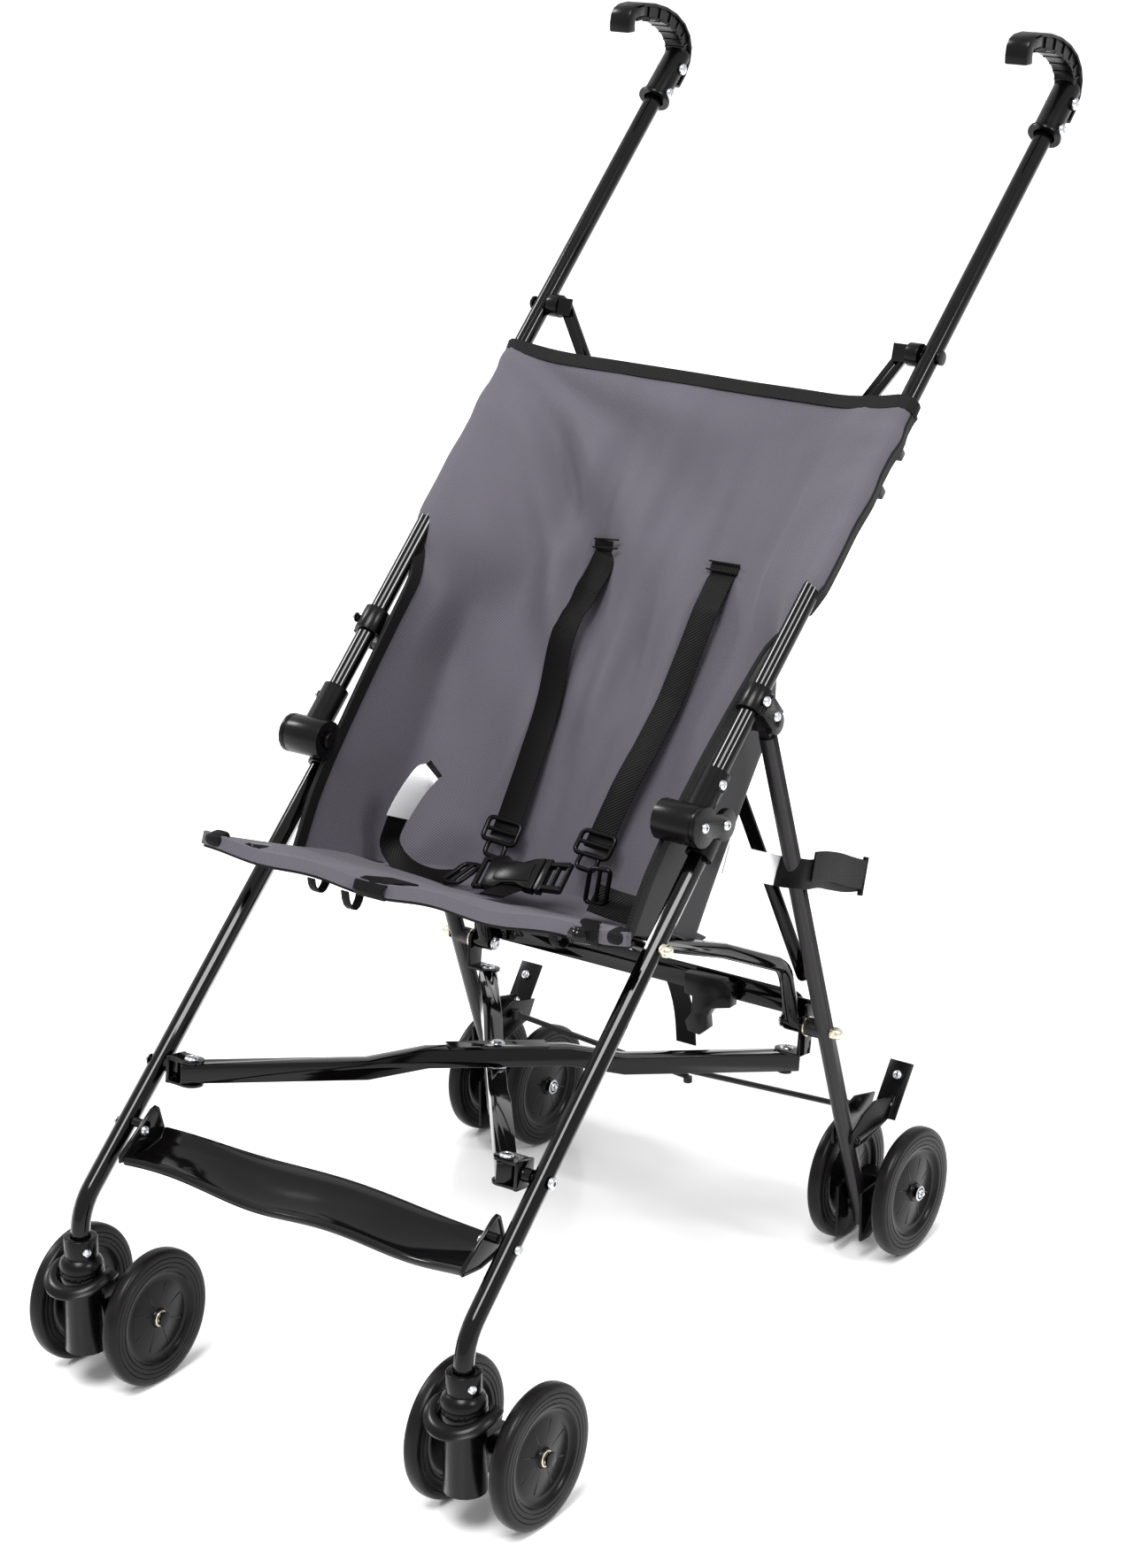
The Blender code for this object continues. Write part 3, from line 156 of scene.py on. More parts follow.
def settle(piece, material, body):
    """Gives a piece its finish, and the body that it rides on."""
    piece.data.materials.clear()
    piece.data.materials.append(material)
    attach(piece, body)
    return piece


def finished(node, material, width=0.0, angle=40):
    """The node's own shape, welded, with its edges rounded and its finish."""
    source = frame["nodes"][node]
    mesh = bpy.data.meshes.new(node + "_skin")
    shape = bmesh.new()
    shape.from_mesh(source.data)
    bmesh.ops.remove_doubles(shape, verts=shape.verts, dist=1e-6)
    bmesh.ops.dissolve_limit(
        shape, angle_limit=math.radians(0.5), verts=shape.verts, edges=shape.edges
    )
    shape.to_mesh(mesh)
    shape.free()
    piece = bpy.data.objects.new(node + "_skin", mesh)
    bpy.context.scene.collection.objects.link(piece)
    soften(piece, width, angle)
    settle(piece, material, body_of_node[node])
    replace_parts(piece, node)
    return piece


sides = (("left", -1), ("right", 1))
for side, _ in sides:
    for name in ("push_tube_", "front_leg_", "seat_bar_"):
        finished(name + side, enamel, angle=60)
for name in ("cross_tube_a", "cross_tube_b"):
    finished(name, enamel, 0.0016)
finished("saddle", enamel, 0.0004)


# Corner brackets
# Pressed steel leaves join each cross tube to a leg. They are enamelled like the tubes, and the
# screws and bolts through them are zinc plated.

# Zinc plate: pale bluish silver, bright, with slight handling marks
zinc = new_finish("bright zinc plate", "#c9ccd0", 0.25, "zinc_steel", 1.0)
vary(zinc, 700, ("#b9bcc1", "#dcdee1"), (0.18, 0.34))

# Yellow passivated zinc: the same plating with a pale gold cast
gold = new_finish("yellow zinc plate", "#ddd6c2", 0.25, "zinc_steel", 1.0)
vary(gold, 600, ("#cfc6ac", "#e8e1cf"), (0.18, 0.32))


def turned(name, profile, centre, axis, material, body, steps=24):
    """Piece of revolution, spun from a profile of (radius, distance along the axis)."""
    mesh = bpy.data.meshes.new(name)
    rows = [(radius, 0, along) for radius, along in profile]
    mesh.from_pydata(rows, [(i, i + 1) for i in range(len(rows) - 1)], [])
    piece = bpy.data.objects.new(name, mesh)
    bpy.context.scene.collection.objects.link(piece)
    pick(piece)
    bpy.ops.object.mode_set(mode="EDIT")
    bpy.ops.mesh.select_all(action="SELECT")
    bpy.ops.mesh.spin(steps=steps, angle=math.tau, center=(0, 0, 0), axis=(0, 0, 1))
    bpy.ops.mesh.select_all(action="SELECT")
    bpy.ops.mesh.remove_doubles(threshold=1e-5)
    bpy.ops.mesh.normals_make_consistent(inside=False)
    bpy.ops.object.mode_set(mode="OBJECT")
    turn = Vector(axis).to_track_quat("Z", "Y").to_matrix().to_4x4()
    turn.translation = Vector(centre)
    mesh.transform(turn)
    bpy.ops.object.shade_smooth_by_angle(angle=math.radians(35))
    return settle(piece, material, body)


cross_frame_y = 0.1186


def at(x, y, z):
    """World point of one measured from the middle of the cross frame."""
    return Vector((x, y - cross_frame_y, z))


def screw(name, centre, axis, body, radius=0.0043):
    """Pan-head screw with a driver recess, standing on the point that it holds."""
    height = 0.0026
    profile = [
        (0, height * 0.55), (radius * 0.28, height * 0.55), (radius * 0.40, height * 0.97),
        (radius * 0.72, height * 0.86), (radius * 0.93, height * 0.52), (radius, height * 0.12),
        (radius * 0.98, -0.0006), (0, -0.0006),
    ]
    return turned(name, profile, centre, axis, zinc, body, 20)


def acorn_nut(name, centre, axis, body, length):
    """Hexagonal nut with its domed cap, plated yellow."""
    profile = [
        (0, length), (0.0016, length * 0.985), (0.0034, length * 0.90), (0.0046, length * 0.74),
        (0.0049, length * 0.55), (0.0050, length * 0.50), (0.0050, 0), (0, 0),
    ]
    turned(name + "_dome", profile, centre, axis, gold, body)
    deselect()
    bpy.ops.mesh.primitive_cylinder_add(vertices=6, radius=0.0058, depth=length * 0.5)
    nut = bpy.context.object
    nut.name = name
    turn = Vector(axis).to_track_quat("Z", "Y").to_matrix().to_4x4()
    turn.translation = Vector(centre) + Vector(axis) * length * 0.25
    nut.data.transform(turn)
    soften(nut, 0.0005)
    settle(nut, gold, body)


cross_normal = Vector((0, 0.1304, 0.9915))
screw_seat = 0.0107
washer = [(0.0035, 0.0012), (0.0088, 0.0012), (0.0088, 0), (0.0035, 0), (0.0035, 0.0012)]
for side, sign in sides:
    front_body = "front_bracket_" + side
    rear_body = "rear_bracket_" + side
    out = (sign, 0, 0)
    finished(front_body, enamel, 0.0003)
    finished(rear_body, enamel, 0.0003)
    corner = at(sign * 0.158, -0.1985, 0.2497)
    for way, label in ((1, "upper"), (-1, "lower")):
        name = f"front_corner_screw_{label}_{side}"
        screw(name, corner + cross_normal * way * screw_seat, cross_normal * way, front_body, 0.0058)
    corner = at(sign * 0.158, 0.2002, 0.1973)
    screw("rear_corner_screw_" + side, corner + cross_normal * screw_seat, cross_normal, rear_body, 0.0058)
    screw("front_leg_screw_" + side, at(sign * 0.2015, -0.1985, 0.2497), out, front_body, 0.0052)
    acorn_nut("front_nut_" + side, at(sign * 0.1985, -0.049, 0.3884), out, "front_leg_" + side, 0.0095)
    acorn_nut("rear_nut_" + side, at(sign * 0.2008, 0.2047, 0.2315), out, "rear_leg_" + side, 0.0098)
    bolt_head = at(sign * 0.1522, 0.2047, 0.2315)
    screw("rear_bolt_head_" + side, bolt_head, (-sign, 0, 0), rear_body, 0.0062)
    turned("rear_washer_" + side, washer, at(sign * 0.1762, 0.2047, 0.2315), out, gold, rear_body)
finished("centre_rivet", zinc, 0.0003)


# Rear legs
# Straight 15 mm steel tube, powder coated in a satin charcoal that is greyer than the enamel.

charcoal = new_finish("satin charcoal powder coat", "#1b191b", 0.3, Specular_IOR_Level=0.25)
vary(charcoal, 40, ("#181618", "#1f1c1f"), (0.26, 0.34), 900, 0.00005)
for side, _ in sides:
    finished("rear_leg_" + side, charcoal)
    finished("brake_link_" + side, charcoal)


# Knuckles, clamps and upper brackets
# Glass-filled nylon mouldings screwed to the tubes: a fine-grained satin black with soft edges.

nylon = new_finish("moulded black nylon", "#0a0909", 0.26, "black_plastic", Specular_IOR_Level=0.18)
vary(nylon, 60, ("#040303", "#080607"), (0.22, 0.31), 1600, 0.00003)

push_slope = math.radians(42.07)
push_dir = Vector((0, math.cos(push_slope), math.sin(push_slope)))


def on_push(station, sign):
    """Point of the push tube's centre line this far up from the knuckle."""
    x = 0.1905 + 0.0085 * station / 0.706
    return at(sign * x, -0.0003, 0.4726) + push_dir * station


def placed(name, shape, material, body, rounding, angle=40):
    """Object made from a finished mesh under construction, with its edges rounded."""
    bmesh.ops.recalc_face_normals(shape, faces=shape.faces)
    mesh = bpy.data.meshes.new(name)
    shape.to_mesh(mesh)
    shape.free()
    piece = bpy.data.objects.new(name, mesh)
    bpy.context.scene.collection.objects.link(piece)
    soften(piece, rounding, angle)
    return settle(piece, material, body)


def block(name, centre, size, material, body, rounding, up=(0, 0, 1)):
    """Rounded block with its width along x and its height along a direction square to that."""
    across = Vector((1, 0, 0))
    deep = Vector(up).cross(across).normalized()
    turn = Matrix((across, deep, across.cross(deep))).transposed().to_4x4()
    turn.translation = Vector(centre)
    shape = bmesh.new()
    bmesh.ops.create_cube(shape, size=1.0, matrix=turn @ Matrix.Diagonal((*size, 1)))
    return placed(name, shape, material, body, rounding)


for side, sign in sides:
    push, leg = "push_side_" + side, "front_leg_" + side
    for name, rounding in (
        ("knuckle_upper_", 0.0008), ("knuckle_lower_", 0.0006),
        ("leg_clamp_", 0.0005), ("upper_bracket_", 0.0004),
    ):
        finished(name + side, nylon, rounding)
    for name, place, body in (
        ("knuckle_screw_a_", at(sign * 0.2074, -0.004, 0.4767), leg),
        ("knuckle_screw_b_", at(sign * 0.2074, 0.0269, 0.4701), leg),
        ("sleeve_screw_", on_push(0.0405, sign) + Vector((sign * 0.0112, -0.0015, 0.0020)), push),
        ("clamp_screw_a_", at(sign * 0.2058, 0.0849, 0.5558), push),
        ("clamp_screw_b_", at(sign * 0.2058, 0.0999, 0.5394), push),
    ):
        screw(name + side, place, (sign, 0, 0), body)
    # Clips on the back of each tube, at these millimetres up it, hold the seat's edge
    for mark in (376, 337):
        clip = on_push(mark / 1000, sign) + Vector((sign * 0.002, 0.0085, -0.0085))
        size = (0.012, 0.018, 0.009)
        block(f"seat_clip_{mark}_{side}", clip, size, nylon, push, 0.0015, up=push_dir)


# Handles
# Each hook is one nylon moulding pushed over its tube: an I-section whose hollow sides are
# crossed by ribs, with a solid nose, and a sleeve with a flared collar and two screws.

# Outer edge of the hook, as (y, z) from the sleeve to the nose
hook_edge = [
    (0.4285, 0.9500), (0.4390, 0.9600), (0.4462, 0.9715), (0.4485, 0.9840), (0.4455, 0.9960),
    (0.4372, 1.0075), (0.4245, 1.0170), (0.4085, 1.0243), (0.3900, 1.0292), (0.3720, 1.0315),
    (0.3590, 1.0308), (0.3516, 1.0280), (0.3470, 1.0225), (0.3452, 1.0150), (0.3452, 1.0070),
]
hook_depth = 0.0150
hook_half_width = 0.0105
flange = 0.0032
web_half_width = 0.0080


def hook_ring(x, index, outline):
    """Outline of the hook at one point of its edge, from (across, depth) pairs."""
    y, z = hook_edge[index]
    back = Vector(hook_edge[max(index - 1, 0)])
    ahead = Vector(hook_edge[min(index + 1, len(hook_edge) - 1)])
    run = (ahead - back).normalized()
    return [Vector((x + u, y - run.y * d, z + run.x * d)) for u, d in outline]


def skinned(name, rings, material, body, rounding=0.0, angle=40):
    """Solid drawn over a row of closed outlines, with flat ends."""
    shape = bmesh.new()
    rows = [[shape.verts.new(point) for point in ring] for ring in rings]
    for here, ahead in zip(rows, rows[1:]):
        for k in range(len(here)):
            after = (k + 1) % len(here)
            shape.faces.new((here[k], here[after], ahead[after], ahead[k]))
    shape.faces.new(rows[0])
    shape.faces.new(list(reversed(rows[-1])))
    return placed(name, shape, material, body, rounding, angle)


for side, sign in sides:
    push = "push_side_" + side
    x = sign * 0.1990
    w, web, deep = hook_half_width, web_half_width, hook_depth
    # The depth is towards the inside of the curve
    i_section = [
        (-w, 0.0010), (-w + 0.0015, 0), (w - 0.0015, 0), (w, 0.0010), (w, flange), (web, flange + 0.0008),
        (web, deep - 0.0030), (w - 0.0012, deep - 0.0024), (w - 0.0012, deep),
        (-w + 0.0012, deep), (-w + 0.0012, deep - 0.0024), (-web, deep - 0.0030),
        (-web, flange + 0.0008), (-w, flange),
    ]
    rings = [hook_ring(x, k, i_section) for k in range(len(hook_edge) - 4)]
    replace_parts(skinned("hook_" + side, rings, nylon, push), "handle_" + side)
    nose = [(-w, 0), (w, 0), (w, deep - 0.0035), (-w, deep - 0.0035)]
    rings = [hook_ring(x, k, nose) for k in range(len(hook_edge) - 6, len(hook_edge))]
    skinned("hook_nose_" + side, rings, nylon, push, 0.0016)
    rib_size = (2 * w - 0.0024, 0.0018, deep - flange)
    for k in range(1, len(hook_edge) - 6):
        here, ahead = Vector(hook_edge[k]), Vector(hook_edge[k + 1])
        y, z = here.lerp(ahead, 0.45)
        run = (ahead - here).normalized()
        inward = Vector((0, -run.y, run.x))
        middle = Vector((x, y, z)) + inward * (deep * 0.5 + 0.0022)
        block(f"hook_rib_{k}_4_{side}", middle, rib_size, nylon, push, 0.0002, up=inward)
    sleeve = [
        (0.0096, 0), (0.0146, 0), (0.0150, 0.0016), (0.0146, 0.0034), (0.0122, 0.0048), (0.0119, 0.0100),
        (0.0119, 0.0520), (0.0104, 0.0560), (0, 0.0560), (0, 0.0540), (0.0096, 0.0540), (0.0096, 0),
    ]
    turned("hook_sleeve_" + side, sleeve, on_push(0.700, sign), push_dir, nylon, push, 32)
    boss = [(0, 0.0134), (0.0050, 0.0134), (0.0056, 0.0128), (0.0058, 0.0080), (0, 0.0080)]
    nut = [(0, 0.0142), (0.0024, 0.0138), (0.0030, 0.0126), (0.0030, 0.0100), (0, 0.0100)]
    for station, label in ((0.7085, "low"), (0.7375, "high")):
        middle = on_push(station, sign)
        head = middle + Vector((0.0134, 0, 0))
        turned(f"handle_boss_{label}_{side}", boss, middle, (1, 0, 0), nylon, push)
        screw(f"handle_screw_{label}_{side}", head, (1, 0, 0), push, 0.0052)
        turned(f"handle_nut_{label}_{side}", nut, middle, (-1, 0, 0), zinc, push, 16)


# Front castors
# A cup on the leg holds the stem; the swivelling body carries the axle behind it, and a flap
# round its front locks it straight. All are moulded nylon.

castor_x = 0.1925
swivel_y = -0.2993

# Section of the flap from its collar out over the lip and back: small radii are metres, and those
# near 1 are shares of its reach
flap_section = (
    (0.0208, 0.0012), (0.0235, 0.0022), (0.0290, 0.0010), (0.93, -0.0004), (1.0, -0.0022),
    (0.985, -0.0042), (0.92, -0.0034), (0.0290, -0.0016), (0.0235, -0.0006), (0.0208, -0.0010),
)
swivel_dome = [
    (0, 0.1172), (0.0135, 0.1172), (0.0162, 0.1150), (0.0178, 0.1112), (0.0180, 0.1075),
    (0.0170, 0.1036), (0.0150, 0.1010), (0, 0.1010),
]
for side, sign in sides:
    for name in ("castor_collar_", "castor_body_"):
        finished(name + side, nylon, 0.0008)
    # The flap is a thin oval bib, open at the back and tipped down at the front
    rings = []
    for step in range(49):
        angle = math.radians(-118 + 236 * step / 48)
        front = math.cos(angle)
        reach = 0.0300 + 0.0014 * max(front, 0) ** 1.5
        ring = []
        for out, rise in flap_section:
            radius = reach * out if out > 0.5 else min(out, reach * 0.9)
            drop = 0.0060 - radius * front * 0.34 if front > 0 else 0.0060
            x = sign * castor_x + radius * math.sin(angle)
            ring.append(at(x, swivel_y - radius * front, 0.0995 + drop + rise))
        rings.append(ring)
    flap = skinned("castor_flap_" + side, rings, nylon, "swivel_lock_" + side)
    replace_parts(flap, "swivel_lock_" + side)
    place = at(sign * castor_x, swivel_y, 0.1250) + Vector((0.0125, -0.0062, 0))
    screw("collar_screw_" + side, place, (0.90, -0.44, 0), "front_leg_" + side, 0.0036)
    place = at(sign * castor_x, swivel_y, 0)
    turned("castor_dome_" + side, swivel_dome, place, (0, 0, 1), nylon, "castor_" + side, 40)


# Wheels
# Eight alike: a moulded disc hub with a foamed tyre pressed on it. The tyre is a matt black
# with two fine rings on its wall; the hub is smoother, dished, with faint radial ribs.

tyre_foam = new_finish("foamed tyre rubber", "#0d0b0c", 0.32, "foam_tyre", Specular_IOR_Level=0.16)
vary(tyre_foam, 90, ("#0c0a0b", "#131112"), (0.28, 0.36), 2200, 0.00006)
hub_plastic = new_finish("moulded hub plastic", "#0d0b0c", 0.24, "foam_tyre", Specular_IOR_Level=0.17)
vary(hub_plastic, 70, ("#0a0809", "#110f10"), (0.20, 0.28), 1500, 0.00004)

wheel_radius = 0.0575
tyre_profile = [
    (0.0425, 0.0064), (0.0436, 0.0073), (0.0462, 0.0074), (0.0466, 0.0069), (0.0470, 0.0074),
    (0.0500, 0.0073), (0.0504, 0.0066), (0.0508, 0.0070), (0.0534, 0.0068), (0.0552, 0.0062),
    (0.0566, 0.0050), (0.0573, 0.0033), (wheel_radius, 0.0015),
]
hub_profile = [
    (0.0046, 0.0068), (0.0072, 0.0067), (0.0080, 0.0060), (0.0084, 0.0046), (0.0110, 0.0038),
    (0.0305, 0.0034), (0.0312, 0.0030), (0.0350, 0.0028), (0.0372, 0.0034), (0.0388, 0.0050),
    (0.0398, 0.0066), (0.0410, 0.0070), (0.0424, 0.0069), (0.0429, 0.0060),
]


def both_faces(profile):
    """The profile and its mirror image, as one closed outline."""
    other = [(radius, -along) for radius, along in reversed(profile)]
    return profile + other + [profile[0]]


def build_wheel(node, centre):
    """One wheel on its axle, with eight ribs raised on each face of its hub."""
    tyre = turned(node + "_tyre", both_faces(tyre_profile), centre, (1, 0, 0), tyre_foam, node, 72)
    turned(node + "_hub", both_faces(hub_profile), centre, (1, 0, 0), hub_plastic, node, 64)
    ribs = bmesh.new()
    for count in range(8):
        for way in (1, -1):
            turn = Matrix.Rotation(math.tau * (count + 0.5) / 8, 4, "X")
            place = Matrix.Translation(centre) @ turn @ Matrix.Translation((way * 0.00345, 0, 0.0200))
            size = Matrix.Diagonal((0.0007, 0.0009, 0.0190, 1))
            bmesh.ops.create_cube(ribs, size=1.0, matrix=place @ size)
    placed(node + "_ribs", ribs, hub_plastic, node, 0.00015)
    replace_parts(tyre, node)


star_cap = [
    (0, 0.0042), (0.0012, 0.0041), (0.0019, 0.0035), (0.0020, 0.0016), (0.0032, 0.0014),
    (0.0040, 0.0006), (0.0060, 0.0009), (0.0068, 0.0003), (0.0066, -0.0004), (0, -0.0004),
]
# Each pair's middle x and its axle's y, how far its wheels and its caps stand from that middle,
# and the finish and body of its caps
pairs = (
    ("front", castor_x, -0.2596, 0.0399, 0.0468, gold, "castor_"),
    ("rear", 0.1968, 0.2952, 0.0322, 0.0426, zinc, "rear_leg_"),
)
for side, sign in sides:
    for place, away in (("inner", -1), ("outer", 1)):
        for end, x, y, wheel_out, _, _, _ in pairs:
            centre = at(sign * (x + away * wheel_out), y, wheel_radius)
            build_wheel(f"{end}_wheel_{place}_{side}", centre)
        for end, x, y, _, cap_out, finish, body in pairs:
            centre = at(sign * (x + away * cap_out), y, wheel_radius)
            name = f"{end}_axle_cap_{place}_{side}"
            turned(name, star_cap, centre, (sign * away, 0, 0), finish, body + side)


# Rear feet and brake
# A channel moulded in satin black nylon holds each pair of rear wheels, and a pedal tab behind it
# sets the brake. A thin rod ties the two pedals together.

tab_slope = math.radians(54)
tab_face = Vector((0, -math.sin(tab_slope), math.cos(tab_slope)))
for side, sign in sides:
    lever = "brake_lever_" + side
    finished("rear_foot_" + side, nylon, 0.0006)
    finished(lever, nylon, 0.0005)
    screw("brake_screw_high_" + side, at(sign * 0.201, 0.3169, 0.1524), tab_face, lever)
    screw("brake_screw_low_" + side, at(sign * 0.201, 0.3016, 0.1310), tab_face, lever)


# Fold lock
# Two flat bars spread the rear of the frame, jointed in the middle. The catch with its pedal
# is moulded nylon, and a strip of webbing hangs from the bar to pull it up.

for side, _ in sides:
    finished("fold_bar_" + side, enamel, 0.0004)
finished("fold_latch", nylon, 0.0010)
screw("fold_bar_rivet", at(0, 0.2175 - 0.0052, 0.2425), (0, -1, 0), "fold_bar_left", 0.0050)


# Back strips
# Two flat enamelled strips cross behind the seat and hold the push tubes square.

for name in ("back_strip_a", "back_strip_b"):
    finished(name, enamel, 0.0004)


# Seat
# One sling of grey polyester twill, cut in panels and sewn: the back hangs between the push
# tubes, the base lies on the seat bars, and black tape binds every edge.

twill = new_finish("grey polyester twill", "#4b474e", 0.75, "grey_twill", Sheen_Weight=0.08)
lining = new_finish("black lining cloth", "#1d1b20", 0.7)
webbing = new_finish(
    "black polypropylene webbing", "#090808", 0.5, "black_webbing", Specular_IOR_Level=0.10
)
binding_tape = new_finish(
    "black binding tape", "#080707", 0.65, "black_webbing", Specular_IOR_Level=0.18
)


def weave(material, scale, colours, strength):
    """Diagonal ribs of a weave, half a millimetre apart in real cloth, over a soft mottle.

    They are drawn 1 to 2 mm apart so that they show.
    """
    nodes, links = material.node_tree.nodes, material.node_tree.links
    shader = nodes["Principled BSDF"]
    place = nodes["Texture Coordinate"].outputs["UV"]
    ribs = add_node(
        material,
        "ShaderNodeTexWave",
        {"Vector": place, "Scale": scale, "Distortion": 0.6, "Detail": 1.0},
        bands_direction="DIAGONAL",
    )
    cloud = add_node(material, "ShaderNodeTexNoise", {"Vector": place, "Scale": 14.0, "Detail": 5.0})
    blend = add_node(
        material,
        "ShaderNodeMix",
        {"Factor": 0.35, "A": ribs.outputs["Fac"], "B": cloud.outputs["Fac"]},
    )
    ramp = add_node(material, "ShaderNodeValToRGB", {"Fac": blend.outputs["Result"]})
    for element, position, colour in zip(ramp.color_ramp.elements, (0.2, 0.8), colours):
        element.position = position
        element.color = srgb(colour)
    raised = add_node(
        material,
        "ShaderNodeBump",
        {"Height": ribs.outputs["Fac"], "Distance": 0.0003, "Strength": strength},
    )
    links.new(ramp.outputs["Color"], shader.inputs["Base Color"])
    links.new(raised.outputs["Normal"], shader.inputs["Normal"])


weave(twill, 330, ("#3d3a42", "#5a5661"), 0.5)
weave(lining, 420, ("#161518", "#1e1c20"), 0.25)
weave(webbing, 200, ("#050404", "#100e0f"), 0.9)
weave(binding_tape, 260, ("#060505", "#0c0b0b"), 0.4)

# Side edge and middle line of the sling, as (v, x, y, z), v going from its crease to its top hem
edge_line = [
    (0.00, 0.166, -0.050, 0.3905), (0.12, 0.168, -0.018, 0.4400), (0.28, 0.171, 0.040, 0.5020),
    (0.45, 0.176, 0.115, 0.5710), (0.65, 0.181, 0.200, 0.6460), (0.85, 0.184, 0.272, 0.7060),
    (1.00, 0.1865, 0.3045, 0.7457),
]
middle_line = [
    (0.00, 0, 0.084, 0.3370), (0.12, 0, 0.118, 0.3920), (0.28, 0, 0.156, 0.4580),
    (0.45, 0, 0.196, 0.5300), (0.65, 0, 0.240, 0.6120), (0.85, 0, 0.282, 0.6900),
    (1.00, 0, 0.312, 0.7440),
]


def ease(t):
    """Goes from 0 to 1 with level ends."""
    t = min(max(t, 0.0), 1.0)
    return t * t * (3 - 2 * t)


def between(t, here, ahead, start, end):
    """Value at t, 0 to 1, on a smooth curve between two values with these slopes at its ends."""
    return (
        (2 * t**3 - 3 * t**2 + 1) * here
        + (t**3 - 2 * t**2 + t) * start
        + (3 * t**2 - 2 * t**3) * ahead
        + (t**3 - t**2) * end
    )


def along(line, v):
    """Point of a measured line at this share of its length, rounded through its stations."""
    v = min(v, line[-1][0])
    count = len(line)
    index = max(i for i in range(count - 1) if line[i][0] <= v or i == 0)
    here, ahead = line[index], line[index + 1]
    before = line[max(index - 1, 0)]
    after = line[min(index + 2, count - 1)]
    step = ahead[0] - here[0]
    point = []
    for k in (1, 2, 3):
        start = (ahead[k] - before[k]) / max(ahead[0] - before[0], 1e-6) * step
        end = (after[k] - here[k]) / max(after[0] - here[0], 1e-6) * step
        point.append(between((v - here[0]) / step, here[k], ahead[k], start, end))
    return Vector(point)


def bump(u, centre, width):
    """Smooth ridge of height 1 at a place across the cloth."""
    return math.exp(-(((u - centre) / width) ** 2))


def fold_at(u, v):
    """How far the cloth stands forward in its creases, in metres."""
    tall = math.sin(math.pi * min(max(v, 0), 1))
    # Soft upright creases from how the seat is folded away
    rise = 0.0060 * bump(u, -0.52 + 0.10 * v, 0.075) * tall
    rise -= 0.0050 * bump(u, -0.36 + 0.06 * v, 0.07) * tall
    rise += 0.0035 * bump(u, -0.10, 0.05) * tall - 0.0030 * bump(u, 0.04, 0.06) * tall
    rise += 0.0045 * bump(u, 0.24 - 0.05 * v, 0.06) * tall
    # A sharp pull down the right side, and softer ones from both top corners
    high = ease((v - 0.30) / 0.25) * ease((1.03 - v) / 0.10)
    rise += 0.0075 * bump(u, 0.60 + 0.30 * (v - 0.5), 0.045) * high
    rise -= 0.0060 * bump(u, 0.74 + 0.26 * (v - 0.5), 0.06) * high
    rise += 0.0070 * bump(u, -0.93 + 0.9 * (1 - v), 0.05 + 0.12 * (1 - v)) * high
    rise -= 0.0045 * bump(u, -0.78 + 0.9 * (1 - v), 0.06 + 0.10 * (1 - v)) * high
    rise += 0.0012 * math.sin(u * 23 + v * 9) * tall * (1 - abs(u))
    rise += 0.0010 * math.sin(u * 41 - v * 17) * tall * (1 - abs(u))
    # Shallow pulls that fan out from the left top corner, and a hollow right of the middle
    fan = math.atan2(1.02 - v, u + 1.02)
    near = ease((1.02 - v) / 0.12) * ease((v - 0.18) / 0.30) * ease((0.45 - u) / 0.5)
    rise += 0.0032 * math.sin(fan * 21) * near
    rise -= 0.0060 * bump(u, 0.30 - 0.30 * (v - 0.6), 0.16) * bump(v, 0.72, 0.22)
    return rise * 1.35


def side_share(u, v):
    """How far across, 0 to 1, and how far forward, 0 to 1, the sling's section has come at u."""
    corner_start = 0.45
    if u < corner_start:
        return u * (1.12 - 0.12 * u) * 0.97, 0.0
    # Low down the sides turn forward in a corner; higher up they sweep forward gently
    corner = 1 - ease((v - 0.34) / 0.30)
    start = 0.4655
    across = between(min((u - corner_start) / 0.25, 1.0), start, 0.955, 0.245, 0)
    across += 0.045 * max(u - 0.70, 0) / 0.30
    share = (max(u - 0.52, 0) / 0.48) ** 1.35
    t = (u - corner_start) / 0.55
    gentle = start + 0.5345 * t
    return gentle + (across - gentle) * corner, t**1.7 + (share - t**1.7) * corner


sleeve_radius = 0.0102
push_normal = Vector((0, -math.sin(push_slope), math.cos(push_slope)))


def sleeve_point(u, v, lift):
    """Point of the upper part's edge, which wraps forward over the push tube and round its outside."""
    sign = 1 if u > 0 else -1
    station = (along(edge_line, v).y + 0.0003) / math.cos(push_slope)
    share = (abs(u) - 0.88) / 0.12
    radius = sleeve_radius + lift
    if share < 0:
        across, forward = radius * share * 2.2, radius * (1 + 0.5 * share)
    else:
        angle = math.radians(90 - 118 * share)
        across, forward = radius * math.cos(angle), radius * math.sin(angle)
    return on_push(station, sign) + Vector((sign * across, 0, 0)) + push_normal * forward


def back_point(u, v, lift=0.0):
    """Point of the sling's front face; u runs from side to side and v from crease to hem."""
    edge = along(edge_line, v)
    middle = along(middle_line, v)
    sign = 1 if u > 0 else -1
    across, share = side_share(abs(u), v)
    skew = u * ease((v - 0.5) / 0.5) * (1 - share)
    rise = fold_at(u, v) * (1 - share * 0.6) + lift
    y = middle.y + (edge.y - middle.y) * share + 0.0265 * skew - rise * 0.87
    z = middle.z + (edge.z - middle.z) * share - 0.0085 * skew + rise * 0.49
    point = at(edge.x * across * sign - sign * 0.3 * rise * share, y, z)
    over_tube = ease((v - 0.47) / 0.12) * ease((abs(u) - 0.58) / 0.34)
    if over_tube > 0:
        wrinkle = 0.0012 * math.sin(v * 46 + u * 5) * ease((v - 0.6) / 0.2)
        point = point.lerp(sleeve_point(u, v, lift + max(wrinkle, -0.0005)), over_tube)
    return point


def narrows(piece):
    """Gives a piece that lies on the cloth or hangs between the legs a mesh of its own."""
    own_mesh(piece)
    return piece


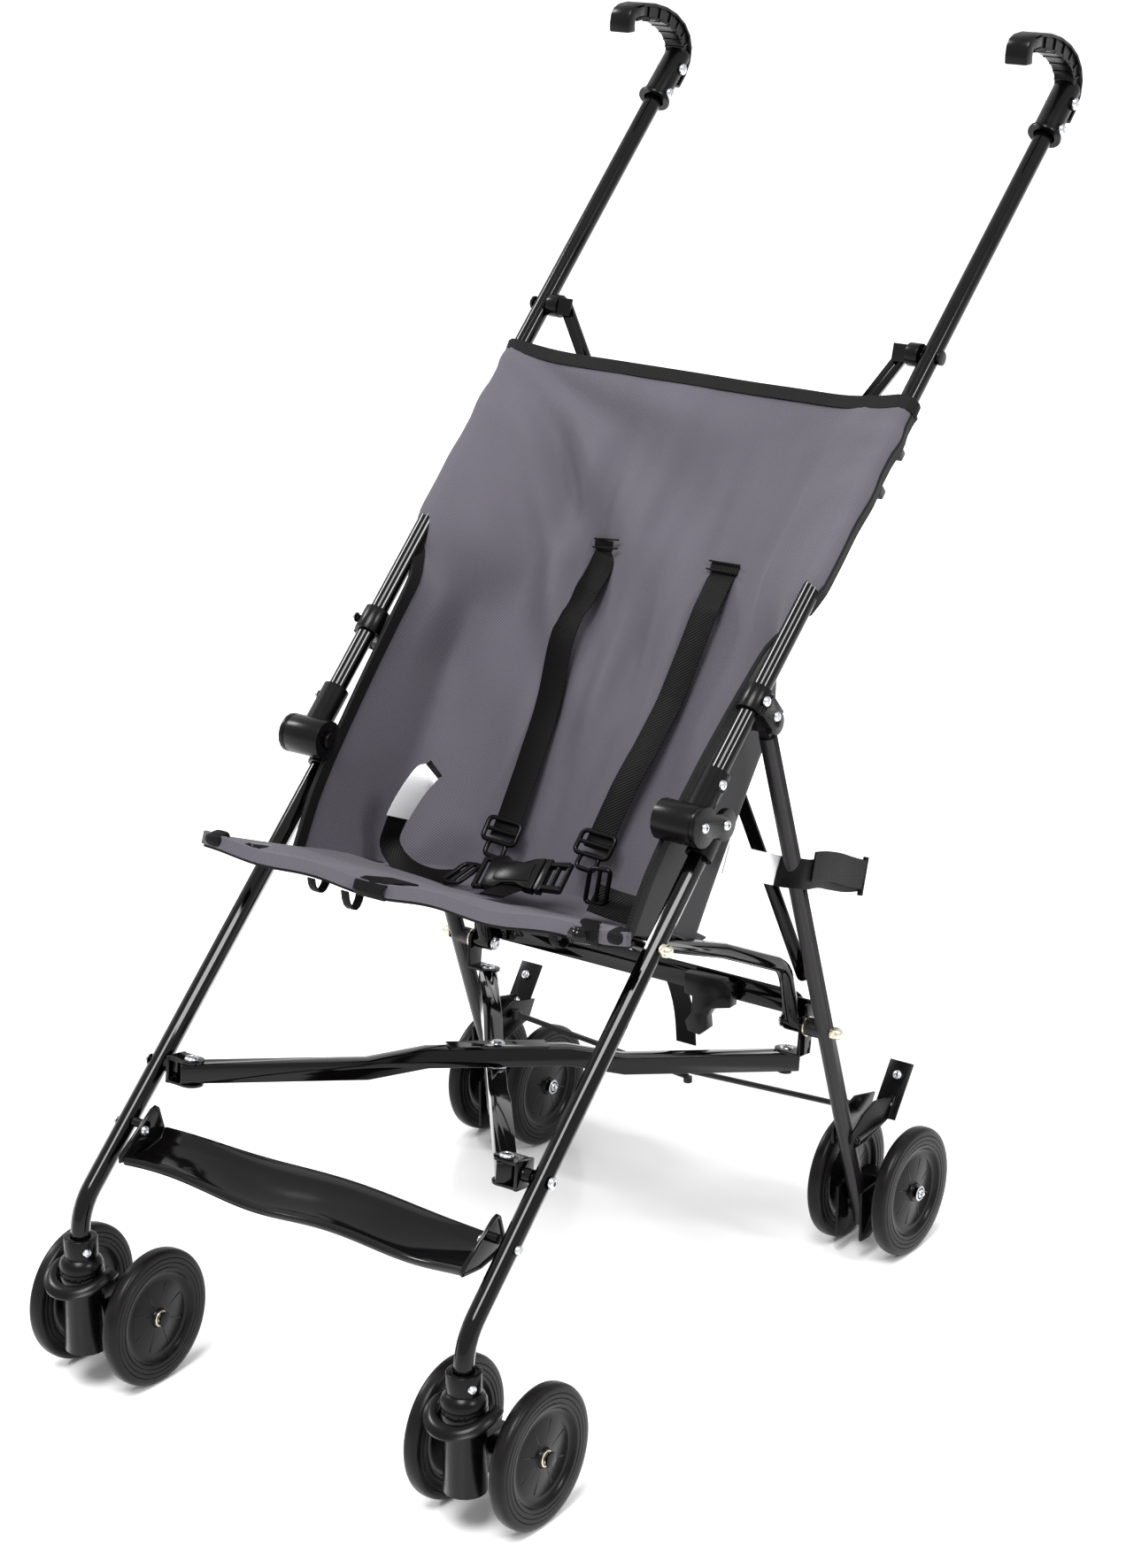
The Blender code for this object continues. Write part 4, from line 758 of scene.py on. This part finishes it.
def cloth(name, point_at, columns, rows, thickness, body, node, turned_over=False):
    """Lined cloth on a grid of points, with its weave laid out in metres; returns it and its area."""
    deselect()
    bpy.ops.mesh.primitive_grid_add(x_subdivisions=columns, y_subdivisions=rows, size=2)
    piece = bpy.context.object
    piece.name = name
    layer = piece.data.uv_layers.active.data
    for loop in piece.data.loops:
        x, y, _ = piece.data.vertices[loop.vertex_index].co
        layer[loop.index].uv = (x * 0.2, (y + 1) * 0.25)
    for vertex in piece.data.vertices:
        vertex.co = point_at(vertex.co.x, (vertex.co.y + 1) / 2)
    piece.data.materials.append(twill)
    piece.data.materials.append(lining)
    if turned_over:
        pick(piece)
        bpy.ops.object.mode_set(mode="EDIT")
        bpy.ops.mesh.select_all(action="SELECT")
        bpy.ops.mesh.flip_normals()
        bpy.ops.object.mode_set(mode="OBJECT")
    area = sum(polygon.area for polygon in piece.data.polygons)
    wall = piece.modifiers.new("Thickness", "SOLIDIFY")
    wall.thickness = thickness
    wall.offset = -1
    wall.material_offset = 1
    wall.material_offset_rim = 1
    pick(piece)
    bpy.ops.object.modifier_apply(modifier=wall.name)
    bpy.ops.object.shade_smooth_by_angle(angle=math.radians(60))
    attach(piece, body)
    narrows(piece)
    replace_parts(piece, node)
    return piece, area


seat_back, back_area = cloth("seat_back_sling", back_point, 72, 84, 0.0014, "back_sling", "seat_back")

# Base panel: from the crease forward over the seat bars to a flared front hem
base_mid = [
    (0.00, 0, 0.098, 0.3500), (0.14, 0, 0.066, 0.3480), (0.35, 0, 0.022, 0.3610),
    (0.70, 0, -0.048, 0.3900), (0.90, 0, -0.090, 0.4060), (1.00, 0, -0.104, 0.4095),
]
base_edge = [
    (0.00, 0.157, 0.076, 0.3500), (0.14, 0.161, 0.052, 0.3540), (0.35, 0.166, 0.012, 0.3750),
    (0.70, 0.168, -0.058, 0.4020), (0.90, 0.186, -0.096, 0.4160), (1.00, 0.203, -0.112, 0.4205),
]


def base_point(u, v):
    """Point of the base's upper face; v runs from the crease to the front hem."""
    edge = along(base_edge, v)
    middle = along(base_mid, v)
    share = abs(u) ** 2.4
    sign = 1 if u > 0 else -1
    ripple = 0.0022 * math.sin(u * 11 + 0.7) * ease((v - 0.4) / 0.6) * (1 - abs(u) ** 6)
    x = edge.x * abs(u) * sign
    y = middle.y + (edge.y - middle.y) * share + 0.010 * u * v
    z = middle.z + (edge.z - middle.z) * share + ripple - 0.002 * u * v
    return at(x, y, z)


seat_base, base_area = cloth(
    "seat_base_panel", base_point, 56, 40, 0.0018, "seat_sling", "seat_base", turned_over=True
)

# Section of webbing or tape, as shares of half its width and half its thickness
strap_section = [(-1.0, 0.55), (-0.93, 1.0), (0.0, 1.0), (0.93, 1.0), (1.0, 0.55)]
strap_section += [(across, -deep) for across, deep in reversed(strap_section)]


def strip_of(name, path, across, width, thickness, material, body):
    """Flat strap through a path of points, with the direction of its width at each of them."""
    shape = bmesh.new()
    uv_layer = shape.loops.layers.uv.new("UVMap")
    rings, lengths, run = [], [], 0.0
    for index, point in enumerate(path):
        before = path[max(index - 1, 0)]
        after = path[min(index + 1, len(path) - 1)]
        heading = (after - before).normalized()
        side_way = across[index] - heading * across[index].dot(heading)
        side_way.normalize()
        normal = heading.cross(side_way)
        if index:
            run += (point - path[index - 1]).length
        lengths.append(run)
        rings.append([
            shape.verts.new(point + side_way * width / 2 * s + normal * thickness / 2 * d)
            for s, d in strap_section
        ])
    for index in range(len(rings) - 1):
        ring, ahead = rings[index], rings[index + 1]
        for k in range(len(ring)):
            after = (k + 1) % len(ring)
            face = shape.faces.new((ring[k], ring[after], ahead[after], ahead[k]))
            corners = ((k, index), (after, index), (after, index + 1), (k, index + 1))
            for loop, (place, row) in zip(face.loops, corners):
                loop[uv_layer].uv = (strap_section[place][0] * width / 2, lengths[row])
    shape.faces.new(rings[0])
    shape.faces.new(list(reversed(rings[-1])))
    return placed(name, shape, material, body, 0.0, 50)


def bind(name, points, inward):
    """Folded tape over an edge of the back: a flat tube that wraps the cloth."""
    return narrows(strip_of(name, points, inward, 0.012, 0.0040, binding_tape, "back_sling"))


shares = [i / 60 for i in range(61)]
hem = [back_point(-1 + 2 * s, 1.0, -0.0007) for s in shares]
bindings = [bind("top_binding", hem, [back_point(0, 0.97) - back_point(0, 1.0)] * 61)]
for side, sign in sides:
    rim = [back_point(sign, s * 0.995, -0.0007) for s in shares]
    inner = [back_point(sign * 0.97, s * 0.995) - back_point(sign, s * 0.995) for s in shares]
    bindings.append(bind("back_binding_" + side, rim, inner))

# The front edge is folded over twice into a soft roll, with its tape seam underneath
front_edge = [base_point(-1 + 2 * s, 1.0) for s in shares]
path = [point + Vector((0, 0.001, -0.0034)) for point in front_edge]
ways = [Vector((0, 0.28, 0.96))] * 61
roll = narrows(strip_of("front_roll", path, ways, 0.0110, 0.0062, twill, "seat_sling"))
path = [point + Vector((0, 0.004, -0.0094)) for point in front_edge]
ways = [Vector((0, 1, 0.1))] * 61
seam = narrows(strip_of("front_seam_tape", path, ways, 0.0100, 0.0030, binding_tape, "seat_sling"))

# Webbing sewn over the roll, and the small loops of tape left hanging under it
for label, place_u, width in (("crotch_patch", -0.20, 0.030), ("right_patch", 0.84, 0.014)):
    path = [base_point(place_u, 0.80 + 0.04 * k) + Vector((0, 0, 0.0034)) for k in range(5)]
    nose = base_point(place_u, 1.0)
    path += [
        nose + Vector((0, -0.0044, 0.0014)),
        nose + Vector((0, -0.0058, -0.0040)),
        nose + Vector((0, -0.0020, -0.0100)),
    ]
    ways = [Vector((1, 0, 0))] * len(path)
    narrows(strip_of(label, path, ways, width, 0.0016, webbing, "seat_sling"))
for label, place_u, drop in (("a", -0.46, 0.014), ("b", -0.30, 0.018), ("c", 0.68, 0.012)):
    nose = base_point(place_u, 1.0) + Vector((0, 0.002, -0.0085))
    turns = [math.pi * k / 8 for k in range(9)]
    bow = [nose + Vector((0, 0.010 * math.cos(turn), -drop * math.sin(turn))) for turn in turns]
    ways = [Vector((1, 0, 0))] * 9
    narrows(strip_of("front_loop_" + label, bow, ways, 0.0080, 0.0014, webbing, "seat_sling"))

# Tape gathers each front corner into a small dark lump
for side, sign in sides:
    corner = base_point(sign * 0.975, 0.97) + Vector((0, 0, -0.0020))
    size = (0.016, 0.018, 0.011)
    narrows(block("front_corner_" + side, corner, size, binding_tape, "seat_sling", 0.0045))


# Harness
# Two shoulder straps come through stitched slits, waist straps come from the sides, and all meet
# in a side-release buckle over the crotch strap. The webbing is woven polypropylene, 25 mm wide.

strap_width = 0.0245


def strap_on_back(stations):
    """Path of webbing that follows the sling at (u, v, lift) stations."""
    path = []
    for here, ahead in zip(stations, stations[1:]):
        for step in range(8):
            path.append(back_point(*(a + (b - a) * (step / 8) for a, b in zip(here, ahead))))
    path.append(back_point(*stations[-1]))
    return path


def curved(stations):
    """Smooth path through a few measured points, with six steps between two."""
    line = [(k, *point) for k, point in enumerate(stations)]
    return [at(*along(line, k / 6)) for k in range((len(stations) - 1) * 6 + 1)]


def laid_strap(name, path, width, body, across=(1, 0, 0)):
    """Strap along a path that goes with the folding seat."""
    ways = across if isinstance(across, list) else [Vector(across)] * len(path)
    return narrows(strip_of(name, path, ways, width, 0.0015, webbing, body))


def bar(name, points, radius, material, body, closed=False):
    """Round bar through points, as a loop if it is closed."""
    curve = bpy.data.curves.new(name, "CURVE")
    curve.dimensions = "3D"
    curve.bevel_depth = radius
    curve.bevel_resolution = 3
    curve.use_fill_caps = True
    line = curve.splines.new("POLY")
    line.points.add(len(points) - 1)
    for spot, point in zip(line.points, points):
        spot.co = (*point, 1)
    line.use_cyclic_u = closed
    piece = bpy.data.objects.new(name, curve)
    bpy.context.scene.collection.objects.link(piece)
    pick(piece)
    bpy.ops.object.convert(target="MESH")
    piece = bpy.context.object
    bpy.ops.object.shade_smooth_by_angle(angle=math.radians(50))
    return settle(piece, material, body)


def slide(name, centre, across, along_strap, width, height, body, bars=1):
    """Moulded frame with rounded corners and cross bars, for webbing to pass through."""
    across, along_strap = Vector(across).normalized(), Vector(along_strap).normalized()
    corner = 0.004
    outline = []
    for sx, sy, start in ((1, 1, 0), (-1, 1, 90), (-1, -1, 180), (1, -1, 270)):
        for k in range(4):
            angle = math.radians(start + 30 * k)
            u = sx * (width / 2 - corner) + corner * math.cos(angle)
            v = sy * (height / 2 - corner) + corner * math.sin(angle)
            outline.append(Vector(centre) + across * u + along_strap * v)
    narrows(bar(name, outline, 0.0021, nylon, body, closed=True))
    for k in range(bars):
        middle = Vector(centre) + along_strap * height * ((k + 1) / (bars + 1) - 0.5)
        ends = [middle + across * width * end / 2 for end in (-0.92, 0.92)]
        narrows(bar(f"{name}_bar_{k}", ends, 0.0019, nylon, body))


left_path = strap_on_back([
    (-0.287, 0.640, -0.0005), (-0.292, 0.618, 0.0050), (-0.318, 0.560, 0.0120), (-0.350, 0.500, 0.0105),
    (-0.362, 0.400, 0.0085), (-0.356, 0.300, 0.0110), (-0.350, 0.215, 0.0130), (-0.350, 0.120, 0.0160),
    (-0.350, 0.085, 0.0185),
])
right_path = strap_on_back([
    (0.334, 0.636, -0.0005), (0.336, 0.612, 0.0050), (0.346, 0.555, 0.0130), (0.330, 0.480, 0.0115),
    (0.300, 0.380, 0.0085), (0.268, 0.290, 0.0105), (0.232, 0.215, 0.0130), (0.196, 0.130, 0.0160),
    (0.186, 0.100, 0.0180),
])
shoulders = (("left", left_path), ("right", right_path))
for side, path in shoulders:
    strap = laid_strap("shoulder_webbing_" + side, path, strap_width, "back_sling")
    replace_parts(strap, "shoulder_strap_" + side)

# Each slit is a bar of dense stitching with a short end of webbing over it
for side, place_u, place_v in (("left", -0.287, 0.640), ("right", 0.334, 0.636)):
    tab = [back_point(place_u, place_v + 0.006 * k, 0.0022) for k in (-1, 0, 1, 2)]
    laid_strap("slit_tab_" + side, tab, strap_width + 0.003, "back_sling")
    for shift, mark in ((-0.004, "m004"), (0.012, "012")):
        ends = [back_point(place_u + du, place_v + shift, 0.0034) for du in (-0.085, 0.085)]
        narrows(bar(f"slit_stitch_{mark}_{side}", ends, 0.0008, binding_tape, "back_sling"))

# Slides that set the straps' length, and a ring below each
forward = Vector((0, -0.87, 0.49))
for side, path in shoulders:
    down = (path[-1] - path[-5]).normalized()
    centre = path[-3] + forward * 0.003
    slide("shoulder_slide_" + side, centre, (1, 0, -0.06), down, 0.0330, 0.0200, "back_sling")
    centre = path[-1] + down * 0.0120 + forward * 0.002
    slide("shoulder_ring_" + side, centre, (1, 0, -0.1), down, 0.0180, 0.0130, "back_sling", bars=0)

# Waist straps: the left one makes a loose loop that carries a plain white tag
waist_left = curved([
    (-0.100, 0.056, 0.4490), (-0.107, 0.046, 0.4420), (-0.121, 0.041, 0.4200), (-0.132, 0.039, 0.3980),
    (-0.137, 0.038, 0.3790), (-0.122, 0.037, 0.3640), (-0.096, 0.036, 0.3600), (-0.066, 0.036, 0.3655),
])
tilt = [
    Vector((0.81, 0.56, 0.10)).lerp(Vector((0.10, 0.85, 0.45)), ease(k / len(waist_left)))
    for k in range(len(waist_left))
]
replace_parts(laid_strap("waist_strap_left", waist_left, 0.0180, "seat_sling", tilt), "lap_belt")
tag_cloth = new_finish("white satin tag", "#e4e4e6", 0.5, "grey_twill")
weave(tag_cloth, 300, ("#dcdcde", "#ececee"), 0.2)
path = [waist_left[k] + Vector((0.0016, -0.0024, 0.0004)) for k in range(2, 17)]
narrows(strip_of("waist_tag", path, tilt[:15], 0.0205, 0.0008, tag_cloth, "seat_sling"))
waist_right = curved([
    (0.160, 0.030, 0.3790), (0.140, 0.034, 0.3760), (0.115, 0.038, 0.3740), (0.092, 0.040, 0.3740),
    (0.070, 0.041, 0.3760),
])
laid_strap("waist_strap_right", waist_right, strap_width, "seat_sling", (0.1, 0.55, 0.83))
crotch = curved([
    (-0.002, 0.000, 0.3745), (-0.002, 0.012, 0.3740), (-0.001, 0.028, 0.3730), (0.000, 0.040, 0.3715),
])
laid_strap("crotch_strap", crotch, strap_width, "seat_sling", (1, 0, 0.08))
centre = at(0.0775, 0.0375, 0.3880)
slide("waist_ring_right", centre, (0.25, -0.1, 1.0), (1, 0, 0.1), 0.0330, 0.0200, "seat_sling")
centre = at(-0.060, 0.036, 0.3700)
slide("waist_slide_left", centre, (0.2, 0.9, 0.3), (1, 0, 0.1), 0.0280, 0.0170, "seat_sling")


# The buckle: a hollow housing notched at its sides, and a tongue with two sprung arms
buckle_centre = at(0.0020, 0.0400, 0.3800)
buckle_across = Vector((1, 0.06, 0.13)).normalized()
buckle_up = Vector((0.05, -0.55, 0.84)).normalized()
deep = buckle_up.cross(buckle_across).normalized()


def buckle_slab(name, outline, low, high, rounding):
    """Part of the buckle, from its outline as (along, across) and its two faces."""
    rings = [
        [buckle_centre + buckle_across * u + deep * w + buckle_up * level for u, w in outline]
        for level in (low, high)
    ]
    return narrows(skinned(name, rings, nylon, "seat_sling", rounding))


def buckle_rod(name, ends):
    """Round bar of the buckle between two places, as (along, across)."""
    points = [buckle_centre + buckle_across * u + deep * w for u, w in ends]
    narrows(bar(name, points, 0.0024, nylon, "seat_sling"))


housing = [
    (-0.0360, -0.0150), (-0.0220, -0.0170), (-0.0160, -0.0120), (-0.0040, -0.0110), (0.0060, -0.0150),
    (0.0150, -0.0165), (0.0160, 0.0165), (0.0060, 0.0150), (-0.0040, 0.0110), (-0.0160, 0.0120),
    (-0.0220, 0.0170), (-0.0360, 0.0150),
]
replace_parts(buckle_slab("buckle_housing", housing, -0.0045, 0.0050, 0.0014), "buckle")
plate = [(-0.026, -0.009), (0.009, -0.009), (0.009, 0.009), (-0.026, 0.009)]
buckle_slab("buckle_plate", plate, 0.0050, 0.0058, 0.0006)
for label, way in (("a", -1), ("b", 1)):
    arm = [
        (-0.0150, way * 0.0126), (-0.0040, way * 0.0118), (0.0140, way * 0.0135), (0.0400, way * 0.0150),
        (0.0400, way * 0.0098), (-0.0140, way * 0.0096),
    ]
    buckle_slab("buckle_arm_" + label, arm, -0.0030, 0.0034, 0.0010)
tongue = [(0.0160, -0.0160), (0.0230, -0.0165), (0.0230, 0.0165), (0.0160, 0.0160)]
buckle_slab("buckle_tongue", tongue, -0.0040, 0.0042, 0.0012)
for u, mark in ((0.0300, "30"), (0.0400, "40"), (-0.0440, "m44")):
    buckle_rod("buckle_bar_" + mark, [(u, -0.0145), (u, 0.0145)])
for label, way in (("a", -1), ("b", 1)):
    buckle_rod("buckle_ear_" + label, [(-0.0440, way * 0.0142), (-0.0350, way * 0.0142)])


# Footrest
# A sheet of flexible gloss black plastic hangs between the front legs, its long edges rolled
# and its ends turned up into ears that are screwed to the legs.

gloss_sheet = new_finish(
    "gloss black polypropylene", "#060506", 0.12, "black_plastic", Specular_IOR_Level=0.28
)
vary(gloss_sheet, 22, ("#050405", "#080708"), (0.08, 0.17), 220, 0.00006)
footrest_body = body_of_node["footrest"]
band_half = 0.1685
band_wall = 0.0024
rings = []
for step in range(65):
    t = -1 + 2 * step / 64
    rear = Vector((0, -0.2190, 0.2065 - 0.0070 * t * t + 0.0014 * math.sin(t * 5 + 0.6)))
    front_z = 0.1850 + 0.0110 * abs(t) ** 2.6 + 0.0028 * math.sin(t * 6.5 + 0.5)
    front = Vector((0, -0.2545 - 0.0135 * t**4, front_z))
    reach = front - rear
    lip = reach.normalized()
    face = Vector((0, reach.z, -reach.y)).normalized()
    upper = [rear + face * 0.0052 + lip * 0.0014]
    upper += [rear + reach * k / 8 - face * 0.0042 * math.sin(math.pi * k / 8) for k in range(1, 8)]
    upper.append(front + face * 0.0014)
    upper.append(front + lip * 0.0020 + face * 0.0004)
    upper.append(front + lip * 0.0030 - face * 0.0026)
    lower = [point - face * band_wall - lip * (0.0010 if k > 7 else 0) for k, point in enumerate(upper)]
    lower[0] = upper[0] - lip * 0.0022
    rings.append([at(t * band_half, p.y, p.z) for p in upper + list(reversed(lower))])
band = narrows(skinned("footrest_band", rings, gloss_sheet, footrest_body, 0.0, 60))
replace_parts(band, "footrest")
ear_outline = [
    (-0.2250, 0.2240), (-0.2280, 0.2262), (-0.2320, 0.2250), (-0.2705, 0.1990), (-0.2710, 0.1945),
    (-0.2500, 0.1925), (-0.2200, 0.1965), (-0.2190, 0.2020),
]
spacer = [(0, 0.0135), (0.0040, 0.0135), (0.0040, 0), (0, 0)]
for side, sign in sides:
    leg, out = "front_leg_" + side, (sign, 0, 0)
    rings = [[at(sign * x, y, z) for y, z in ear_outline] for x in (0.1690, 0.1716)]
    narrows(skinned("footrest_ear_" + side, rings, gloss_sheet, footrest_body, 0.0006))
    rim = [at(sign * 0.1712, y, z) for y, z in ear_outline]
    narrows(bar("footrest_rim_" + side, rim, 0.0018, gloss_sheet, footrest_body, closed=True))
    foot = at(sign * 0.1690, -0.2405, 0.2150)
    turned("footrest_spacer_" + side, spacer, foot, out, nylon, leg, 16)
    screw("footrest_screw_" + side, at(sign * 0.2005, -0.2405, 0.2108), out, leg, 0.0042)
    foot = at(sign * 0.1690, -0.2440, 0.2120)
    screw("footrest_screw_inner_" + side, foot, (-sign, 0, 0), leg, 0.0042)


# Loose straps
# A closure strap with a plain white label goes round the right rear leg and ends in a moulded
# T-bar, and a short strap hangs from the fold bar.

finished("pull_strap", webbing)
leg_body = body_of_node["closure_strap"]
upright = Vector((0, 0.28, 0.96))


def closure(name, stations, thickness, material):
    """Length of the closure strap through measured points, standing on edge round the leg."""
    path = curved(stations)
    return strip_of(name, path, [upright] * len(path), 0.0250, thickness, material, leg_body)


label_stations = [(0.1725, 0.080, 0.4190), (0.1790, 0.112, 0.4050), (0.1835, 0.146, 0.3905)]
closure("closure_label", label_stations, 0.0012, tag_cloth)
round_leg = closure(
    "closure_webbing",
    [
        (0.1835, 0.140, 0.3930), (0.1880, 0.1420, 0.3920), (0.2010, 0.1440, 0.3930),
        (0.2040, 0.1560, 0.3890), (0.2030, 0.1760, 0.3840), (0.1990, 0.2000, 0.3740),
        (0.1965, 0.2300, 0.3620), (0.1965, 0.2520, 0.3560),
    ],
    0.0016,
    webbing,
)
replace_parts(round_leg, "closure_strap")
closure(
    "closure_webbing_return",
    [
        (0.1990, 0.2530, 0.3580), (0.2005, 0.2300, 0.3680), (0.2035, 0.2020, 0.3810),
        (0.2055, 0.1780, 0.3900), (0.2060, 0.1600, 0.3950),
    ],
    0.0016,
    webbing,
)
ends = [at(0.1975, 0.2545, 0.3560) + upright * k for k in (-0.0165, 0.0165)]
bar("closure_t_bar", ends, 0.0026, nylon, leg_body)


# Studio
# A white sweep under soft overhead light, and the camera at the picture's angle.

deselect()
bpy.ops.mesh.primitive_plane_add(size=30, location=(0, 0, 0))
floor = bpy.context.object
floor.name = "studio_floor"
floor_finish = new_finish("white studio floor", "#fdfdfd", 0.16)
vary(floor_finish, 3, ("#fcfcfc", "#fefefe"), (0.14, 0.18))
floor.data.materials.append(floor_finish)

world = bpy.data.worlds.new("studio")
bpy.context.scene.world = world
world.use_nodes = True
sky = world.node_tree.nodes["Background"]
sky.inputs["Color"].default_value = (1, 1, 1, 1)
light_path = world.node_tree.nodes.new("ShaderNodeLightPath")
seen = world.node_tree.nodes.new("ShaderNodeMapRange")
seen.inputs["To Min"].default_value = 0.85
seen.inputs["To Max"].default_value = 1.0
world.node_tree.links.new(light_path.outputs["Is Camera Ray"], seen.inputs["Value"])
world.node_tree.links.new(seen.outputs["Result"], sky.inputs["Strength"])


def lamp(name, place, spread, strength):
    """Even light from one side, as from a distant softbox of this angular width in degrees."""
    data = bpy.data.lights.new(name, "SUN")
    data.angle = math.radians(spread)
    data.energy = strength
    piece = bpy.data.objects.new(name, data)
    bpy.context.scene.collection.objects.link(piece)
    piece.rotation_euler = Vector(place).to_track_quat("Z", "Y").to_euler()


# Lamps stand where the sloping tubes mirror them as long lines, one each side and one overhead
lamp("left_light", (-0.75, -0.05, 0.60), 12, 1.1)
lamp("right_light", (0.78, -0.02, 0.60), 12, 1.0)
lamp("overhead_light", (0.116, -0.455, 0.880), 25, 2.9)

camera_data = bpy.data.cameras.new("camera")
camera = bpy.data.objects.new("camera", camera_data)
bpy.context.scene.collection.objects.link(camera)
bpy.context.scene.camera = camera
camera_data.sensor_fit = "VERTICAL"
camera_data.sensor_height = 36.0
camera_data.lens = 36.0 * 3908.6 / 1772
place = at(1.58093, -2.10512, 1.37791)
aim = at(0.0607, 0.0131, 0.4790) - place
turn = aim.to_track_quat("-Z", "Y").to_matrix().to_4x4() @ Matrix.Rotation(
    math.radians(-0.1941), 4, "Z"
)
turn.translation = place
camera.matrix_world = turn
camera_data.clip_end = 60

bpy.context.scene.view_settings.view_transform = "Standard"
